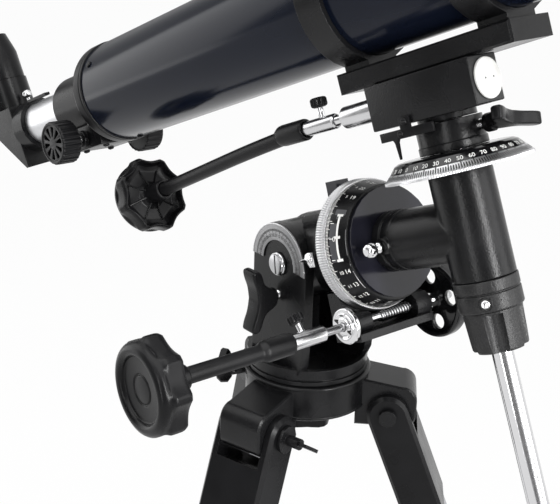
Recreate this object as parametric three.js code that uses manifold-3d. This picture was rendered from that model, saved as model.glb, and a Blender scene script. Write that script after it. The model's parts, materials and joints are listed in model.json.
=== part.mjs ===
import * as THREE from 'three';
import { mergeVertices } from 'three/addons/utils/BufferGeometryUtils.js';
import Module from 'manifold-3d';

// A small refracting telescope on a German equatorial mount and a three-legged tripod.
// Millimetres, +Z up. The tube points forward along +X, and the hour angle, declination and latitude
// below are the pose that the mount rests in.

const wasm = await Module();
wasm.setup();

// Values that several pieces share
const gap = 0.3;
const cutOverrun = 2;
const roundSteps = 30;
const mediumSteps = 20;
const smallSteps = 12;
const tinySteps = 10;
const hexSides = 6;
const lobeSteps = 4;

const pose = {
  latitude: THREE.MathUtils.degToRad(21),
  hourAngle: THREE.MathUtils.degToRad(3),
  declination: THREE.MathUtils.degToRad(6),
};

const axes = {
  x: new THREE.Vector3(1, 0, 0),
  y: new THREE.Vector3(0, 1, 0),
  z: new THREE.Vector3(0, 0, 1),
  minusX: new THREE.Vector3(-1, 0, 0),
  minusY: new THREE.Vector3(0, -1, 0),
};

// Makers of closed solids, and how they are joined and cut
function weld(geometry) {
  const bare = geometry.clone();
  bare.deleteAttribute('normal');
  bare.deleteAttribute('uv');
  const merged = mergeVertices(bare);
  const index = merged.getIndex().array;
  const position = merged.getAttribute('position').array;
  const triangles = [];
  let volume = 0;
  for (let i = 0; i < index.length; i += 3) {
    const [a, b, c] = [index[i], index[i + 1], index[i + 2]];
    if (a === b || b === c || c === a) continue;
    triangles.push(a, b, c);
    const corner = [a, b, c].map((k) => new THREE.Vector3().fromArray(position, 3 * k));
    volume += corner[0].dot(corner[1].cross(corner[2]));
  }
  if (volume < 0) triangles.reverse();
  return new wasm.Manifold(new wasm.Mesh({
    numProp: 3,
    vertProperties: Float32Array.from(position),
    triVerts: Uint32Array.from(triangles),
  }));
}

function toGeometry(solid) {
  const mesh = solid.getMesh();
  const geometry = new THREE.BufferGeometry();
  geometry.setAttribute('position', new THREE.BufferAttribute(Float32Array.from(mesh.vertProperties), 3));
  geometry.setIndex(new THREE.BufferAttribute(Uint32Array.from(mesh.triVerts), 1));
  geometry.computeVertexNormals();
  return geometry;
}

function join(first, ...others) {
  return others.reduce((sum, other) => sum.add(other), first);
}

function cut(first, ...others) {
  return others.reduce((rest, other) => rest.subtract(other), first);
}

function point(x = 0, y = 0, z = 0) {
  return new THREE.Vector3(x, y, z);
}

// A turned solid from [radius, height] pairs, whose height runs from the point at along the axis.
// A profile that doesn't start and end on the axis closes on itself, as a ring.
function turned(profile, steps, at = point(), axis = axes.z) {
  const points = profile.map(([radius, height]) => new THREE.Vector2(radius, height));
  const [first, last] = [profile[0], profile[profile.length - 1]];
  if (first[0] > 0 || last[0] > 0) points.push(points[0].clone());
  const geometry = new THREE.LatheGeometry(points, steps);
  geometry.rotateX(Math.PI / 2);
  geometry.applyQuaternion(new THREE.Quaternion().setFromUnitVectors(axes.z, axis));
  geometry.translate(at.x, at.y, at.z);
  return weld(geometry);
}

function rod(radius, from, to, steps, at = point(), axis = axes.z) {
  return turned([[0, from], [radius, from], [radius, to], [0, to]], steps, at, axis);
}

function tubeRing(inner, outer, from, to, steps, at = point(), axis = axes.z) {
  return turned([[inner, from], [outer, from], [outer, to], [inner, to]], steps, at, axis);
}

function block(low, high) {
  const size = high.clone().sub(low);
  const geometry = new THREE.BoxGeometry(size.x, size.y, size.z);
  geometry.translate((low.x + high.x) / 2, (low.y + high.y) / 2, (low.z + high.z) / 2);
  return weld(geometry);
}

// An outline drawn in the plane of across and up, and extruded along their cross product
function prism(outline, depth, at, across, up, bevel = 0) {
  const shape = new THREE.Shape(outline.map(([a, b]) => new THREE.Vector2(a, b)));
  const geometry = new THREE.ExtrudeGeometry(shape, {
    depth: depth - 2 * bevel,
    bevelEnabled: bevel > 0,
    bevelThickness: bevel,
    bevelSize: bevel,
    bevelOffset: -bevel,
    bevelSegments: 1,
  });
  geometry.translate(0, 0, bevel);
  const basis = new THREE.Matrix4().makeBasis(across, up, across.clone().cross(up));
  geometry.applyMatrix4(basis);
  geometry.translate(at.x, at.y, at.z);
  return weld(geometry);
}

function arc(centre, radius, from, to, steps) {
  const points = [];
  for (let i = 0; i <= steps; i += 1) {
    const angle = from + ((to - from) * i) / steps;
    points.push([centre[0] + radius * Math.cos(angle), centre[1] + radius * Math.sin(angle)]);
  }
  return points;
}

// An outline whose radius swells and shrinks evenly, as on a lobed hand knob
function lobed(radius, depth, lobes, stepsEach) {
  const points = [];
  const count = lobes * stepsEach;
  for (let i = 0; i < count; i += 1) {
    const angle = (2 * Math.PI * i) / count;
    const reach = radius - (depth * (1 - Math.cos(lobes * angle))) / 2;
    points.push([reach * Math.cos(angle), reach * Math.sin(angle)]);
  }
  return points;
}

// A threaded length: one helical ridge on a core, closed by flat ends
function threaded(core, crest, pitch, from, to, steps, at, axis) {
  const stepsPerPitch = 4;
  const rows = Math.round(((to - from) / pitch) * stepsPerPitch);
  const positions = [];
  const index = [];
  for (let row = 0; row <= rows; row += 1) {
    const height = from + ((to - from) * row) / rows;
    for (let i = 0; i < steps; i += 1) {
      const angle = (2 * Math.PI * i) / steps;
      const phase = (height - from) / pitch - i / steps;
      const ridge = (1 + Math.cos(2 * Math.PI * phase)) / 2;
      const radius = core + (crest - core) * ridge;
      positions.push(radius * Math.cos(angle), radius * Math.sin(angle), height);
    }
  }
  for (let row = 0; row < rows; row += 1) {
    for (let i = 0; i < steps; i += 1) {
      const next = (i + 1) % steps;
      const [a, b] = [row * steps + i, row * steps + next];
      index.push(a, b, b + steps, a, b + steps, a + steps);
    }
  }
  const low = positions.length / 3;
  positions.push(0, 0, from, 0, 0, to);
  for (let i = 0; i < steps; i += 1) {
    const next = (i + 1) % steps;
    index.push(low, next, i, low + 1, rows * steps + i, rows * steps + next);
  }
  const geometry = new THREE.BufferGeometry();
  geometry.setAttribute('position', new THREE.Float32BufferAttribute(positions, 3));
  geometry.setIndex(index);
  geometry.applyQuaternion(new THREE.Quaternion().setFromUnitVectors(axes.z, axis));
  geometry.translate(at.x, at.y, at.z);
  return weld(geometry);
}

// Finishes
function finish(color, roughness, metalness) {
  return () => new THREE.MeshStandardMaterial({ color, roughness, metalness });
}

const finishes = {
  castBlack: finish(0x2b2b2d, 0.45, 0.1),
  plasticBlack: finish(0x1c1c1e, 0.4, 0),
  discGrey: finish(0x424246, 0.5, 0.2),
  scaleGrey: finish(0x9a9a9a, 0.5, 0.6),
  chrome: finish(0xd8d8da, 0.15, 1),
  steel: finish(0xb8b8ba, 0.3, 1),
  white: finish(0xe8e8e6, 0.4, 0),
  navyGloss: finish(0x0d1220, 0.12, 0.2),
  aluminium: finish(0xb4b7ba, 0.35, 0.9),
  glass: finish(0xbfd8d4, 0.05, 0),
};

function add(group, name, solid, makeMaterial) {
  const mesh = new THREE.Mesh(toGeometry(solid), makeMaterial());
  mesh.name = name;
  group.add(mesh);
  return mesh;
}

// Tripod: hub, legs and clamps

const hub = {
  radius: 41.8,
  height: 24,
  boltHole: 5.3,
  lipHeight: 1.2,
  lipRadius: 39,
};

const lug = {
  halfWidth: 16,
  innerReach: 34,
  reach: 75,
  topDrop: 3.2,
  slopeEnd: 65,
  slopeDrop: 8.6,
  roundRadius: 10,
  roundFrom: THREE.MathUtils.degToRad(78),
  roundDrop: 18.4,
  footRadius: 8,
  depth: 38,
  bevel: 1.2,
  roundSteps: 6,
  footSteps: 4,
};

const pivot = {
  radius: 56,
  drop: 27.5,
  boltRadius: 3.6,
  headRadius: 6,
  headHeight: 3,
  washerRadius: 9,
  washerHeight: 2.4,
  studEnd: 35,
  wing: [[-5, 0], [5, 0], [8.4, 4], [7.6, 9], [4, 11], [-4, 11], [-7.6, 9], [-8.4, 4]],
  wingThickness: 2.2,
  wingTurn: THREE.MathUtils.degToRad(37),
};

const leg = {
  count: 3,
  firstAzimuth: THREE.MathUtils.degToRad(-74),
  splay: THREE.MathUtils.degToRad(21),
  length: 700,
};

const legHead = {
  cheek: 6,
  roundRadius: 14,
  solidFrom: 26,
  length: 84,
  rim: 2.2,
  roundSteps: 10,
};

const upperLeg = {
  width: 40,
  thickness: 23.6,
  wall: 1.8,
  from: 34,
  to: 440,
  collarLength: 36,
  collarWall: 3.4,
};

const lowerLeg = {
  from: 330,
  footLength: 26,
  footWall: 4,
};

const legClamp = {
  bossRadius: 8,
  bossHeight: 7,
  screwRadius: 3,
  knobRadius: 12,
  knobDepth: 2.4,
  knobHeight: 11,
  stand: 5,
  lobes: 6,
};

const hubBolt = {
  shankRadius: 5,
  knobRadius: 20,
  knobDepth: 3,
  knobHeight: 12,
  collarRadius: 9,
  collarHeight: 6,
  lobes: 5,
  lobeSteps: 6,
  reachIntoBase: 4,
};

function lugOutline() {
  const inner = lug.innerReach;
  const topCentre = [lug.reach - lug.roundRadius, -lug.roundDrop];
  const topRound = arc(topCentre, lug.roundRadius, lug.roundFrom, 0, lug.roundSteps);
  const footCentre = [lug.reach - lug.footRadius, -lug.depth + lug.footRadius];
  const footRound = arc(footCentre, lug.footRadius, 0, -Math.PI / 2, lug.footSteps);
  const top = [[inner, -lug.topDrop], [lug.slopeEnd, -lug.slopeDrop]];
  return [...top, ...topRound, ...footRound, [inner, -lug.depth]];
}

function pivotBolt() {
  const outerFace = lug.halfWidth + gap + legHead.cheek + gap;
  const bolt = rod(pivot.boltRadius, -outerFace - gap, pivot.studEnd, tinySteps, point(), axes.y);
  const head = rod(pivot.headRadius, 0, pivot.headHeight, tinySteps, point(0, -outerFace, 0), axes.minusY);
  const washer = rod(pivot.washerRadius, 0, pivot.washerHeight, smallSteps, point(0, outerFace, 0), axes.y);
  const span = point(Math.cos(pivot.wingTurn), 0, Math.sin(pivot.wingTurn));
  const flat = span.clone().cross(axes.y);
  const wingAt = point(0, pivot.studEnd - gap, 0).addScaledVector(flat, -pivot.wingThickness / 2);
  const wing = prism(pivot.wing, pivot.wingThickness, wingAt, span, axes.y);
  return join(bolt, head, washer, wing);
}

function hubSolid() {
  const drum = turned([
    [hub.boltHole, 0], [hub.lipRadius, 0], [hub.radius, -hub.lipHeight],
    [hub.radius, -hub.height + hub.lipHeight], [hub.radius - hub.lipHeight, -hub.height],
    [hub.boltHole, -hub.height],
  ], roundSteps);
  const pieces = [];
  for (let i = 0; i < leg.count; i += 1) {
    const arm = prism(lugOutline(), 2 * lug.halfWidth, point(0, lug.halfWidth, 0), axes.x, axes.z, lug.bevel);
    const fastener = toGeometry(pivotBolt());
    fastener.translate(pivot.radius, 0, -pivot.drop);
    const whole = toGeometry(join(arm, weld(fastener)));
    whole.rotateZ(leg.firstAzimuth + (2 * Math.PI * i) / leg.count);
    pieces.push(weld(whole));
  }
  const bore = rod(hub.boltHole, -hub.height - cutOverrun, cutOverrun, smallSteps);
  return cut(join(drum, ...pieces), bore);
}

function hubBoltSolid() {
  const bottom = -hub.height - gap;
  const knobOutline = lobed(hubBolt.knobRadius, hubBolt.knobDepth, hubBolt.lobes, hubBolt.lobeSteps);
  const knobTop = bottom - hubBolt.collarHeight;
  const knobAt = point(0, 0, knobTop - hubBolt.knobHeight);
  const knob = prism(knobOutline, hubBolt.knobHeight, knobAt, axes.x, axes.y);
  const collar = rod(hubBolt.collarRadius, knobTop - gap, bottom, smallSteps);
  const shank = rod(hubBolt.shankRadius, bottom - gap, hubBolt.reachIntoBase, smallSteps);
  return join(shank, collar, knob);
}

function legHeadSolid() {
  const outer = lug.halfWidth + gap + legHead.cheek;
  const side = [
    ...arc([0, 0], legHead.roundRadius, 0, Math.PI, legHead.roundSteps),
    [-legHead.roundRadius, -legHead.length], [legHead.roundRadius, -legHead.length],
  ];
  const body = prism(side, 2 * outer, point(0, outer, 0), axes.x, axes.z, legHead.rim);
  const mouthTop = legHead.roundRadius + cutOverrun;
  const mouth = block(
    point(-legHead.roundRadius - cutOverrun, -lug.halfWidth - gap, -lug.roundRadius),
    point(legHead.roundRadius + cutOverrun, lug.halfWidth + gap, mouthTop),
  );
  const lugSweep = turned([
    [0, -lug.halfWidth - gap], [legHead.solidFrom, -lug.halfWidth - gap],
    [legHead.solidFrom, lug.halfWidth + gap], [0, lug.halfWidth + gap],
  ], mediumSteps, point(), axes.y);
  const holeReach = outer + cutOverrun;
  const hole = rod(pivot.boltRadius + gap, -holeReach, holeReach, tinySteps, point(), axes.y);
  const socket = block(
    point(-upperLeg.thickness / 2 - gap, -upperLeg.width / 2 - gap, -legHead.length - cutOverrun),
    point(upperLeg.thickness / 2 + gap, upperLeg.width / 2 + gap, -upperLeg.from + gap),
  );
  return cut(body, mouth, lugSweep, hole, socket);
}

function upperLegSolid() {
  const half = [upperLeg.thickness / 2, upperLeg.width / 2];
  const extrusion = block(point(-half[0], -half[1], -upperLeg.to), point(half[0], half[1], -upperLeg.from));
  const collar = block(
    point(-half[0] - upperLeg.collarWall, -half[1] - upperLeg.collarWall, -upperLeg.to),
    point(half[0] + upperLeg.collarWall, half[1] + upperLeg.collarWall, -upperLeg.to + upperLeg.collarLength),
  );
  const clampAt = -upperLeg.to + upperLeg.collarLength / 2;
  const faceX = half[0] + upperLeg.collarWall;
  const bossAt = point(faceX, 0, clampAt);
  const boss = rod(legClamp.bossRadius, -gap, legClamp.bossHeight, smallSteps, bossAt, axes.x);
  const bore = block(
    point(-half[0] + upperLeg.wall, -half[1] + upperLeg.wall, -upperLeg.to - cutOverrun),
    point(half[0] - upperLeg.wall, half[1] - upperLeg.wall, -upperLeg.from + cutOverrun),
  );
  const holeFrom = -upperLeg.thickness / 2;
  const holeTo = legClamp.bossHeight + cutOverrun;
  const screwHole = rod(legClamp.screwRadius + gap, holeFrom, holeTo, tinySteps, bossAt, axes.x);
  return cut(join(extrusion, collar, boss), bore, screwHole);
}

function lowerLegSolid() {
  const half = [
    upperLeg.thickness / 2 - upperLeg.wall - gap,
    upperLeg.width / 2 - upperLeg.wall - gap,
  ];
  const bar = block(point(-half[0], -half[1], -leg.length + gap), point(half[0], half[1], -lowerLeg.from));
  const wall = lowerLeg.footWall;
  const foot = block(
    point(-half[0] - wall, -half[1] - wall, -leg.length),
    point(half[0] + wall, half[1] + wall, -leg.length + lowerLeg.footLength),
  );
  const floor = toGeometry(join(bar, foot));
  floor.rotateY(-leg.splay);
  const groundDrop = leg.length * Math.cos(leg.splay);
  const reach = leg.length;
  const trimmed = cut(weld(floor), block(
    point(-reach, -reach, -groundDrop - reach),
    point(reach, reach, -groundDrop),
  ));
  const upright = toGeometry(trimmed);
  upright.rotateY(leg.splay);
  return weld(upright);
}

function legClampSolid() {
  const faceX = upperLeg.thickness / 2 + upperLeg.collarWall + legClamp.bossHeight;
  const clampAt = -upperLeg.to + upperLeg.collarLength / 2;
  const screwIn = upperLeg.collarWall + legClamp.bossHeight + upperLeg.wall - gap;
  const screwOut = legClamp.stand + gap;
  const screw = rod(legClamp.screwRadius, -screwIn, screwOut, tinySteps, point(faceX, 0, clampAt), axes.x);
  const outline = lobed(legClamp.knobRadius, legClamp.knobDepth, legClamp.lobes, lobeSteps);
  const knob = prism(outline, legClamp.knobHeight, point(faceX + legClamp.stand, 0, clampAt), axes.y, axes.z);
  return join(screw, knob);
}

function buildTripod(deck) {
  add(deck, 'tripod_hub', hubSolid(), finishes.castBlack);
  add(deck, 'hub_bolt', hubBoltSolid(), finishes.plasticBlack);
  for (let i = 0; i < leg.count; i += 1) {
    const arm = new THREE.Group();
    arm.rotation.z = leg.firstAzimuth + (2 * Math.PI * i) / leg.count;
    deck.add(arm);
    const frame = new THREE.Group();
    frame.name = `leg_frame_${i + 1}`;
    frame.position.set(pivot.radius, 0, -pivot.drop);
    frame.rotation.y = -leg.splay;
    arm.add(frame);
    add(frame, `leg_head_${i + 1}`, legHeadSolid(), finishes.plasticBlack);
    add(frame, `upper_leg_${i + 1}`, upperLegSolid(), finishes.aluminium);
    add(frame, `lower_leg_${i + 1}`, lowerLegSolid(), finishes.aluminium);
    add(frame, `leg_clamp_${i + 1}`, legClampSolid(), finishes.plasticBlack);
  }
}

// Azimuth base: a cup that turns on the hub, and the fork that carries the altitude axis.
// Its origin is the middle of the hub's top.

const cup = {
  radius: 40.6,
  wall: 3.2,
  lip: 11,
  floor: 6.3,
  neckRadius: 39.4,
  neckFrom: 3,
  neckTo: 4.4,
  boltRoom: 4.6,
};

const altitude = {
  x: 6,
  z: 78,
  earRadius: 26.5,
  earInner: 24,
  earOuter: 30.5,
  earSteps: 18,
  barrelRadius: 26.2,
  boltRadius: 4,
  headRadius: 7.7,
  headHeight: 3.2,
  nutHeight: 6,
};

const fork = {
  rear: -22,
  footFront: 26,
  kneeX: 30,
  kneeZ: 14,
  waistX: 32.3,
  waistZ: 40,
  webThickness: 5,
  webTop: 46,
  webHole: 4.3,
  webHoleZ: 30,
};

const latitudeScale = {
  innerRadius: 15.4,
  outerRadius: 26.4,
  thickness: 0.9,
  steps: 24,
  from: THREE.MathUtils.degToRad(-4),
  to: THREE.MathUtils.degToRad(178),
};

// Half the outline of a two-winged clamp handle: towards the screw, then along the wing
const bowHandle = {
  side: [
    [11, 0], [10.4, 3.6], [8, 6], [3, 8.5], [0.2, 12], [-1.5, 17], [-3.4, 20], [-6, 20.8],
    [-8.6, 19.6], [-8, 15], [-5.5, 8], [-4.2, 0],
  ],
  bevel: 1.4,
};

function bowOutline() {
  const mirrored = bowHandle.side.slice(1, -1).reverse().map(([along, across]) => [along, -across]);
  return [...bowHandle.side, ...mirrored];
}

const latitudeClamp = {
  x: -1,
  z: -21,
  shankRadius: 3,
  shankEnd: 45.3,
  handleDepth: 12,
};

const latitudeJack = {
  shankRadius: 4,
  shankEnd: 42,
  barRadius: 2.4,
  barHalf: 14,
  barAt: 39,
};

const azimuthLock = {
  azimuth: THREE.MathUtils.degToRad(-150),
  drop: 12,
  shankRadius: 3,
  shankStart: 42.2,
  shankEnd: 56,
  wing: [
    [-14, -2.8], [-12, -4.6], [-7.6, -4.3], [-3.6, -3.2], [3.6, -3.2], [7.6, -4.3], [12, -4.6], [14, -2.8],
    [14, 2.8], [12, 4.6], [7.6, 4.3], [3.6, 3.2], [-3.6, 3.2], [-7.6, 4.3], [-12, 4.6], [-14, 2.8],
  ],
  wingThickness: 5,
  wingTurn: THREE.MathUtils.degToRad(43),
};

function azimuthBaseSolid() {
  const inner = cup.radius - cup.wall;
  const bowl = turned([
    [0, gap], [cup.radius, gap], [cup.radius, cup.neckFrom], [cup.neckRadius, cup.neckFrom + gap],
    [cup.neckRadius, cup.neckTo - gap], [cup.radius, cup.neckTo], [cup.radius, cup.lip],
    [inner, cup.lip], [inner, cup.floor], [0, cup.floor],
  ], roundSteps);
  const side = [
    [fork.rear, cup.floor - gap], [fork.footFront, cup.floor - gap], [fork.kneeX, fork.kneeZ],
    [fork.waistX, fork.waistZ],
    ...arc([altitude.x, altitude.z], altitude.earRadius, 0, Math.PI, altitude.earSteps),
  ];
  const thickness = altitude.earOuter - altitude.earInner;
  const near = prism(side, thickness, point(0, -altitude.earInner, 0), axes.x, axes.z);
  const far = prism(side, thickness, point(0, altitude.earOuter, 0), axes.x, axes.z);
  const web = block(
    point(fork.rear, -altitude.earInner - gap, cup.floor - gap),
    point(fork.rear + fork.webThickness, altitude.earInner + gap, fork.webTop),
  );
  const reach = altitude.earOuter + cutOverrun;
  const axleAt = point(altitude.x, 0, altitude.z);
  const axle = rod(altitude.boltRadius + gap, -reach, reach, tinySteps, axleAt, axes.y);
  const clampAt = point(altitude.x + latitudeClamp.x, 0, altitude.z + latitudeClamp.z);
  const clampHole = rod(latitudeClamp.shankRadius + gap, 0, reach, tinySteps, clampAt, axes.minusY);
  const jackHole = rod(fork.webHole, fork.rear - cutOverrun, fork.rear + fork.webThickness + cutOverrun,
    tinySteps, point(0, 0, fork.webHoleZ), axes.x);
  const boltRoom = rod(hub.boltHole, -cutOverrun, cup.boltRoom, smallSteps);
  return cut(join(bowl, near, far, web), axle, clampHole, jackHole, boltRoom);
}

function latitudeScaleSolid() {
  const { innerRadius, outerRadius, steps, from, to } = latitudeScale;
  const outline = [
    ...arc([0, 0], outerRadius, from, to, steps),
    ...arc([0, 0], innerRadius, to, from, steps),
  ];
  const face = -altitude.earOuter - gap;
  return prism(outline, latitudeScale.thickness, point(altitude.x, face, altitude.z), axes.x, axes.z);
}

function altitudeBoltSolid() {
  const face = altitude.earOuter + gap;
  const at = point(altitude.x, 0, altitude.z);
  const shank = rod(altitude.boltRadius, -face - gap, face + gap, tinySteps, at, axes.y);
  const head = rod(altitude.headRadius, face, face + altitude.headHeight, mediumSteps, at, axes.minusY);
  const nut = rod(altitude.headRadius, face, face + altitude.nutHeight, hexSides, at, axes.y);
  return join(shank, head, nut);
}

function latitudeClampSolid() {
  const at = point(altitude.x + latitudeClamp.x, 0, altitude.z + latitudeClamp.z);
  const { shankRadius, shankEnd, handleDepth } = latitudeClamp;
  const shank = rod(shankRadius, altitude.earInner, shankEnd, tinySteps, at, axes.minusY);
  const handleAt = point(at.x - handleDepth / 2, -shankEnd, at.z);
  const handle = prism(bowOutline(), handleDepth, handleAt, axes.y, axes.z, bowHandle.bevel);
  return join(shank, handle);
}

function latitudeJackSolid() {
  const at = point(0, 0, fork.webHoleZ);
  const shankStart = -fork.rear - fork.webThickness - cutOverrun;
  const shank = rod(latitudeJack.shankRadius, shankStart, latitudeJack.shankEnd, tinySteps, at, axes.minusX);
  const bar = rod(latitudeJack.barRadius, -latitudeJack.barHalf, latitudeJack.barHalf, tinySteps,
    point(-latitudeJack.barAt, 0, fork.webHoleZ), axes.y);
  return join(shank, bar);
}

function azimuthLockSolid() {
  const { shankStart, shankEnd, wingThickness, wingTurn } = azimuthLock;
  const shank = rod(azimuthLock.shankRadius, shankStart, shankEnd + gap, tinySteps, point(), axes.x);
  const span = point(0, Math.cos(wingTurn), Math.sin(wingTurn));
  const rise = axes.x.clone().cross(span);
  const head = prism(azimuthLock.wing, wingThickness, point(shankEnd, 0, 0), span, rise, gap);
  const knob = toGeometry(join(shank, head));
  knob.rotateZ(azimuthLock.azimuth);
  knob.translate(0, 0, -azimuthLock.drop);
  return weld(knob);
}

function buildBase(base) {
  add(base, 'azimuth_base', azimuthBaseSolid(), finishes.castBlack);
  add(base, 'latitude_scale', latitudeScaleSolid(), finishes.scaleGrey);
  add(base, 'altitude_bolt', altitudeBoltSolid(), finishes.chrome);
  add(base, 'latitude_clamp', latitudeClampSolid(), finishes.plasticBlack);
  add(base, 'latitude_jack', latitudeJackSolid(), finishes.chrome);
  add(base, 'azimuth_lock', azimuthLockSolid(), finishes.plasticBlack);
}

// Polar housing, whose local x is the world's y, and whose z is the polar axis.
// The origin is the crossing of the polar and declination axes.

const polarHousing = {
  altitudeAt: -140,
  altitudeDrop: -2,
  radius: 26,
  barrelHalf: 23.7,
  front: -88.4,
  flangeRadius: 31,
  flangeFrom: -92,
  bore: 10,
  boreFrom: -121,
  scallopRadius: 27,
};

const worm = {
  at: -84,
  drop: -43.3,
  core: 2.5,
  crest: 3.8,
  pitch: 2.2,
  from: -5,
  to: 17.2,
  shaftRadius: 2.5,
  shaftFrom: -80,
  shaftTo: 55,
};

const wormBracket = {
  leftFrom: -29.7,
  leftTo: -16.5,
  leftRadius: 6.8,
  rightFrom: 19,
  rightTo: 31,
  rightRadius: 8.6,
  plateLow: -54,
  plateHigh: -24,
  plateFrom: -99,
  plateTo: -89,
  bridgeTop: -49.4,
  bridgeTo: -76,
  wheelRoom: 40.9,
  wheelRoomFrom: -88.6,
  wheelRoomTo: -60,
};

const ringNut = {
  radius: 11,
  stepRadius: 8,
  stepHeight: 1.2,
  thickness: 3.6,
  hole: 2.9,
};

const pointer = {
  tip: -116,
  shoulder: -108,
  back: -101,
  n: -2,
  halfWidth: 4.5,
  face: 31.9,
  thickness: 1.1,
  footReach: 25.6,
};

const clutchScrew = {
  at: -105,
  shankRadius: 3,
  shankFrom: 22,
  shankTo: 33,
  headHalf: 5,
  headTo: 42,
};

function polarHousingSolid() {
  const centre = point(0, polarHousing.altitudeDrop, polarHousing.altitudeAt);
  const cylinder = turned([
    [0, polarHousing.altitudeAt], [polarHousing.radius, polarHousing.altitudeAt],
    [polarHousing.radius, polarHousing.flangeFrom - cutOverrun],
    [polarHousing.flangeRadius, polarHousing.flangeFrom],
    [polarHousing.flangeRadius, polarHousing.front], [0, polarHousing.front],
  ], roundSteps);
  const reach = altitude.earOuter + cutOverrun;
  const { barrelHalf, scallopRadius } = polarHousing;
  const scallopNear = rod(scallopRadius, barrelHalf, reach, roundSteps, centre, axes.x);
  const scallopFar = rod(scallopRadius, barrelHalf, reach, roundSteps, centre, axes.minusX);
  const barrel = rod(altitude.barrelRadius, -barrelHalf, barrelHalf, roundSteps, centre, axes.x);
  const wormLine = point(0, worm.drop, worm.at);
  const { leftRadius, leftFrom, leftTo, rightRadius, rightFrom, rightTo } = wormBracket;
  const left = rod(leftRadius, leftFrom, leftTo, smallSteps, wormLine, axes.x);
  const right = rod(rightRadius, rightFrom, rightTo, smallSteps, wormLine, axes.x);
  const plate = block(
    point(leftFrom + gap, wormBracket.plateLow, wormBracket.plateFrom),
    point(rightTo - gap, wormBracket.plateHigh, wormBracket.plateTo),
  );
  const bridge = block(
    point(leftFrom + gap, wormBracket.plateLow, wormBracket.plateFrom + cutOverrun),
    point(rightTo - gap, wormBracket.bridgeTop, wormBracket.bridgeTo),
  );
  const roomFrom = wormBracket.wheelRoomFrom;
  const wheelRoom = rod(wormBracket.wheelRoom, roomFrom, wormBracket.wheelRoomTo, roundSteps);
  const shaftRoom = rod(worm.shaftRadius + gap, -worm.shaftTo, worm.shaftTo, tinySteps, wormLine, axes.x);
  const bore = rod(polarHousing.bore, polarHousing.boreFrom, polarHousing.front + cutOverrun, mediumSteps);
  const axle = rod(altitude.boltRadius + gap, -reach, reach, tinySteps, centre, axes.x);
  const { shankRadius, shankFrom, headTo } = clutchScrew;
  const screwAt = point(0, 0, clutchScrew.at);
  const screwHole = rod(shankRadius + gap, shankFrom - gap, headTo, tinySteps, screwAt, axes.y);
  const bracket = cut(join(left, right, plate, bridge), wheelRoom);
  const body = join(cut(cylinder, scallopNear, scallopFar), barrel, bracket);
  return cut(body, shaftRoom, bore, axle, screwHole);
}

function ringNutSolid() {
  const face = wormBracket.leftFrom - gap;
  return turned([
    [ringNut.hole, 0], [ringNut.radius, 0], [ringNut.radius, ringNut.thickness],
    [ringNut.stepRadius, ringNut.thickness], [ringNut.stepRadius, ringNut.thickness + ringNut.stepHeight],
    [ringNut.hole, ringNut.thickness + ringNut.stepHeight],
  ], mediumSteps, point(face, worm.drop, worm.at), axes.minusX);
}

function pointerSolid() {
  const { tip, shoulder, back, n, halfWidth, face, thickness, footReach } = pointer;
  const plate = prism(
    [
      [tip, n], [shoulder, n + halfWidth], [back, n + halfWidth],
      [back, n - halfWidth], [shoulder, n - halfWidth],
    ],
    thickness, point(-face - thickness, 0, 0), axes.z, axes.y,
  );
  const flat = toGeometry(plate);
  flat.computeBoundingBox();
  flat.translate(-face - flat.boundingBox.max.x, 0, 0);
  const foot = block(
    point(-face - gap, n - halfWidth, shoulder + halfWidth),
    point(-footReach, n + halfWidth, back),
  );
  const seat = rod(polarHousing.radius + gap, shoulder, back + cutOverrun, roundSteps);
  return cut(join(weld(flat), foot), seat);
}

function clutchScrewSolid() {
  const { at, shankRadius, shankFrom, shankTo, headHalf, headTo } = clutchScrew;
  const shank = rod(shankRadius, shankFrom, shankTo + gap, tinySteps, point(0, 0, at), axes.y);
  const head = block(point(-headHalf, shankTo, at - headHalf), point(headHalf, headTo, at + headHalf));
  return join(shank, head);
}

function buildPolar(polar) {
  add(polar, 'polar_housing', polarHousingSolid(), finishes.castBlack);
  add(polar, 'ra_ring_nut', ringNutSolid(), finishes.chrome);
  add(polar, 'latitude_pointer', pointerSolid(), finishes.chrome);
  add(polar, 'ra_clutch_screw', clutchScrewSolid(), finishes.discGrey);
}

// Slow-motion controls: a hand knob, a flexible shaft, a sleeve with its thumbscrew, and the worm

const sleeve = {
  radius: 4.9,
  thumbShank: 2,
  thumbShankTo: 10,
  thumbRadius: 5,
  thumbTo: 16,
};

const raSleeve = {
  from: -84,
  to: -49.5,
  thumbAt: -63,
  thumbTurn: THREE.MathUtils.degToRad(25),
};

const flexShaft = {
  collarRadius: 6.5,
  radius: 4.7,
};

const raFlex = {
  collarFrom: -92,
  collarTo: -73.5,
  end: -149,
};

const knobShape = {
  radius: 27.5,
  lobeDepth: 4.4,
  lobes: 8,
  stepsEach: 5,
  height: 21,
  rim: 2.4,
  recessRadius: 17,
  recessDepth: 1.5,
  hollowRadius: 21.5,
  floor: 8,
  hubRadius: 7,
  hubEnd: 36,
  shaftRoom: 5.1,
  shaftDepth: 8,
};

const raKnob = {
  face: -178,
};

const handWheel = {
  from: 38,
  to: 47,
  radius: 24.5,
  rimWall: 3.4,
  webThickness: 3,
  hubRadius: 5,
  hubFrom: 33,
  hubTo: 51,
  holeRadius: 4.75,
  holeCircle: 14.5,
  holes: 4,
};

function thumbScrew(at, axis) {
  const shank = rod(sleeve.thumbShank, 0, sleeve.thumbShankTo + gap, tinySteps, at, axis);
  const head = rod(sleeve.thumbRadius, sleeve.thumbShankTo, sleeve.thumbTo, smallSteps, at, axis);
  return join(shank, head);
}

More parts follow.
